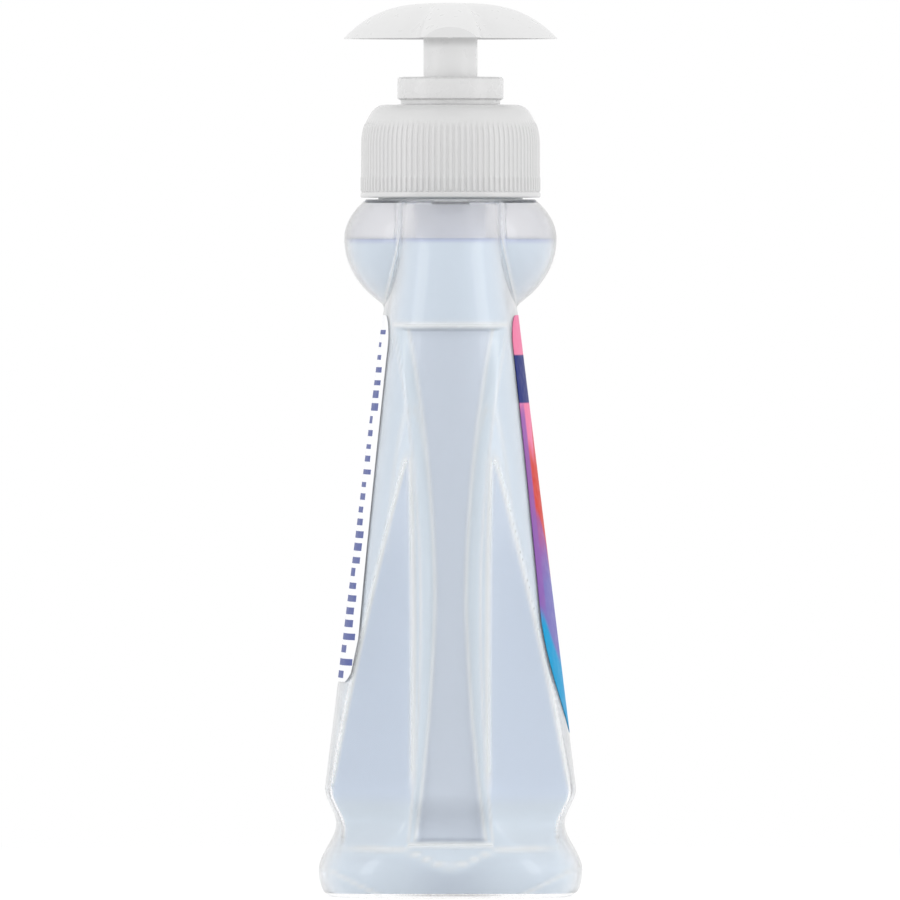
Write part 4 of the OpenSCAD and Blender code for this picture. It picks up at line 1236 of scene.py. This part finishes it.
def floor_material():
    """Pale floor that shows white far from the object and keeps its shadow close to it."""
    material = bpy.data.materials.new("pale_floor")
    material.use_nodes = True
    tree = material.node_tree
    tree.nodes.clear()
    coords = add(tree, "TexCoord").outputs["Object"]
    away = add(tree, "VectorMath", {0: coords}, operation="LENGTH").outputs["Value"]
    near = ramped(tree, away, 0.45, 0.1)
    white = add(tree, "Emission", {"Color": (1, 1, 1, 1), "Strength": 1.0}).outputs[0]
    half_lit = add(tree, "Emission", {"Color": (1, 1, 1, 1), "Strength": 0.82}).outputs[0]
    shade = add(tree, "BsdfDiffuse", {"Color": (0.28, 0.28, 0.28, 1)}).outputs[0]
    caught = add(tree, "AddShader", {0: half_lit, 1: shade}).outputs[0]
    shown = add(tree, "MixShader", {0: near, 1: white, 2: caught}).outputs[0]
    plain = add(tree, "BsdfDiffuse", {"Color": (0.8, 0.8, 0.8, 1)}).outputs[0]
    surface_out = add(tree, "MixShader", {0: seen_ray(tree), 1: plain, 2: shown}).outputs[0]
    add(tree, "OutputMaterial", {"Surface": surface_out})
    return material


def softbox(name, place, target, width, height, power):
    """Area lamp at a place, turned to a target."""
    lamp = bpy.data.lights.new(name, "AREA")
    lamp.shape, lamp.size, lamp.size_y, lamp.energy = "RECTANGLE", width, height, power
    holder = bpy.data.objects.new(name, lamp)
    bpy.context.scene.collection.objects.link(holder)
    holder.location = place
    holder.rotation_euler = (Vector(target) - Vector(place)).to_track_quat("-Z", "Y").to_euler()
    return holder


class BuildStage(bpy.types.Operator):
    """Build the floor, the lamps, the world and the camera."""

    bl_idname = "soap_bottle.build_stage"
    bl_label = "Stage"

    def execute(self, context):
        scene = context.scene
        corners = FLOOR_REACH * np.array([[-1, -1, 0], [1, -1, 0], [1, 1, 0], [-1, 1, 0]])
        mesh = bpy.data.meshes.new("floor")
        mesh.from_pydata(corners.tolist(), [], [[0, 1, 2, 3]])
        floor = bpy.data.objects.new("floor", mesh)
        scene.collection.objects.link(floor)
        mesh.materials.append(floor_material())

        middle = (0, 0, 0.1)
        for name, side in (("left_softbox", 1), ("right_softbox", -1)):
            softbox(name, (-0.6, 1.3 * side, 0.5), middle, 0.7, 1.4, SIDE_POWER)
        softbox("top_softbox", (0.1, 0, 1.5), middle, 1.4, 1.4, TOP_POWER)

        world = bpy.data.worlds.new("studio")
        world.use_nodes = True
        tree = world.node_tree
        tree.nodes.clear()
        back = add(tree, "Background", {"Color": (1, 1, 1, 1), "Strength": 1.0}).outputs[0]
        add(tree, "OutputWorld", {"Surface": back})
        scene.world = world

        camera = bpy.data.objects.new("camera", bpy.data.cameras.new("camera"))
        scene.collection.objects.link(camera)
        camera.data.lens = 18 / (450 * PIXEL / VIEW_DISTANCE)
        camera.data.clip_end = 20
        away = Vector((-math.cos(VIEW_TILT), 0, math.sin(VIEW_TILT)))
        camera.location = Vector((0, 0.5 * PIXEL, VIEW_HEIGHT)) + VIEW_DISTANCE * away
        camera.rotation_euler = (-away).to_track_quat("-Z", "Y").to_euler()
        scene.camera = camera
        scene.view_settings.view_transform = "Standard"
        return {"FINISHED"}


class SoapBottlePanel(bpy.types.Panel):
    """The pieces of the soap bottle, in the order in which they are built."""

    bl_idname = "VIEW3D_PT_soap_bottle"
    bl_label = "Soap bottle"
    bl_space_type = "VIEW_3D"
    bl_region_type = "UI"
    bl_category = "Soap bottle"

    def draw(self, context):
        for operator in OPERATORS:
            self.layout.operator(operator.bl_idname)


OPERATORS = (BuildBottle, BuildSoap, BuildLabels, BuildClosure, BuildHead, BuildSpring, FinishPump,
             BuildStage)
GROUPS = {"bottle_sizes": BottleSizes, "label_sizes": LabelSizes, "pump_sizes": PumpSizes,
          "bottle_finishes": Finishes}


def register():
    for item in (*GROUPS.values(), *OPERATORS, SoapBottlePanel):
        bpy.utils.register_class(item)
    for key, group in GROUPS.items():
        setattr(bpy.types.Scene, key, bpy.props.PointerProperty(type=group))


def unregister():
    for key in GROUPS:
        delattr(bpy.types.Scene, key)
    for item in reversed((*GROUPS.values(), *OPERATORS, SoapBottlePanel)):
        bpy.utils.unregister_class(item)


def main():
    """Builds every piece in order."""
    register()
    for item in OPERATORS:
        family, action = item.bl_idname.split(".")
        getattr(getattr(bpy.ops, family), action)()


if __name__ == "__main__":
    main()
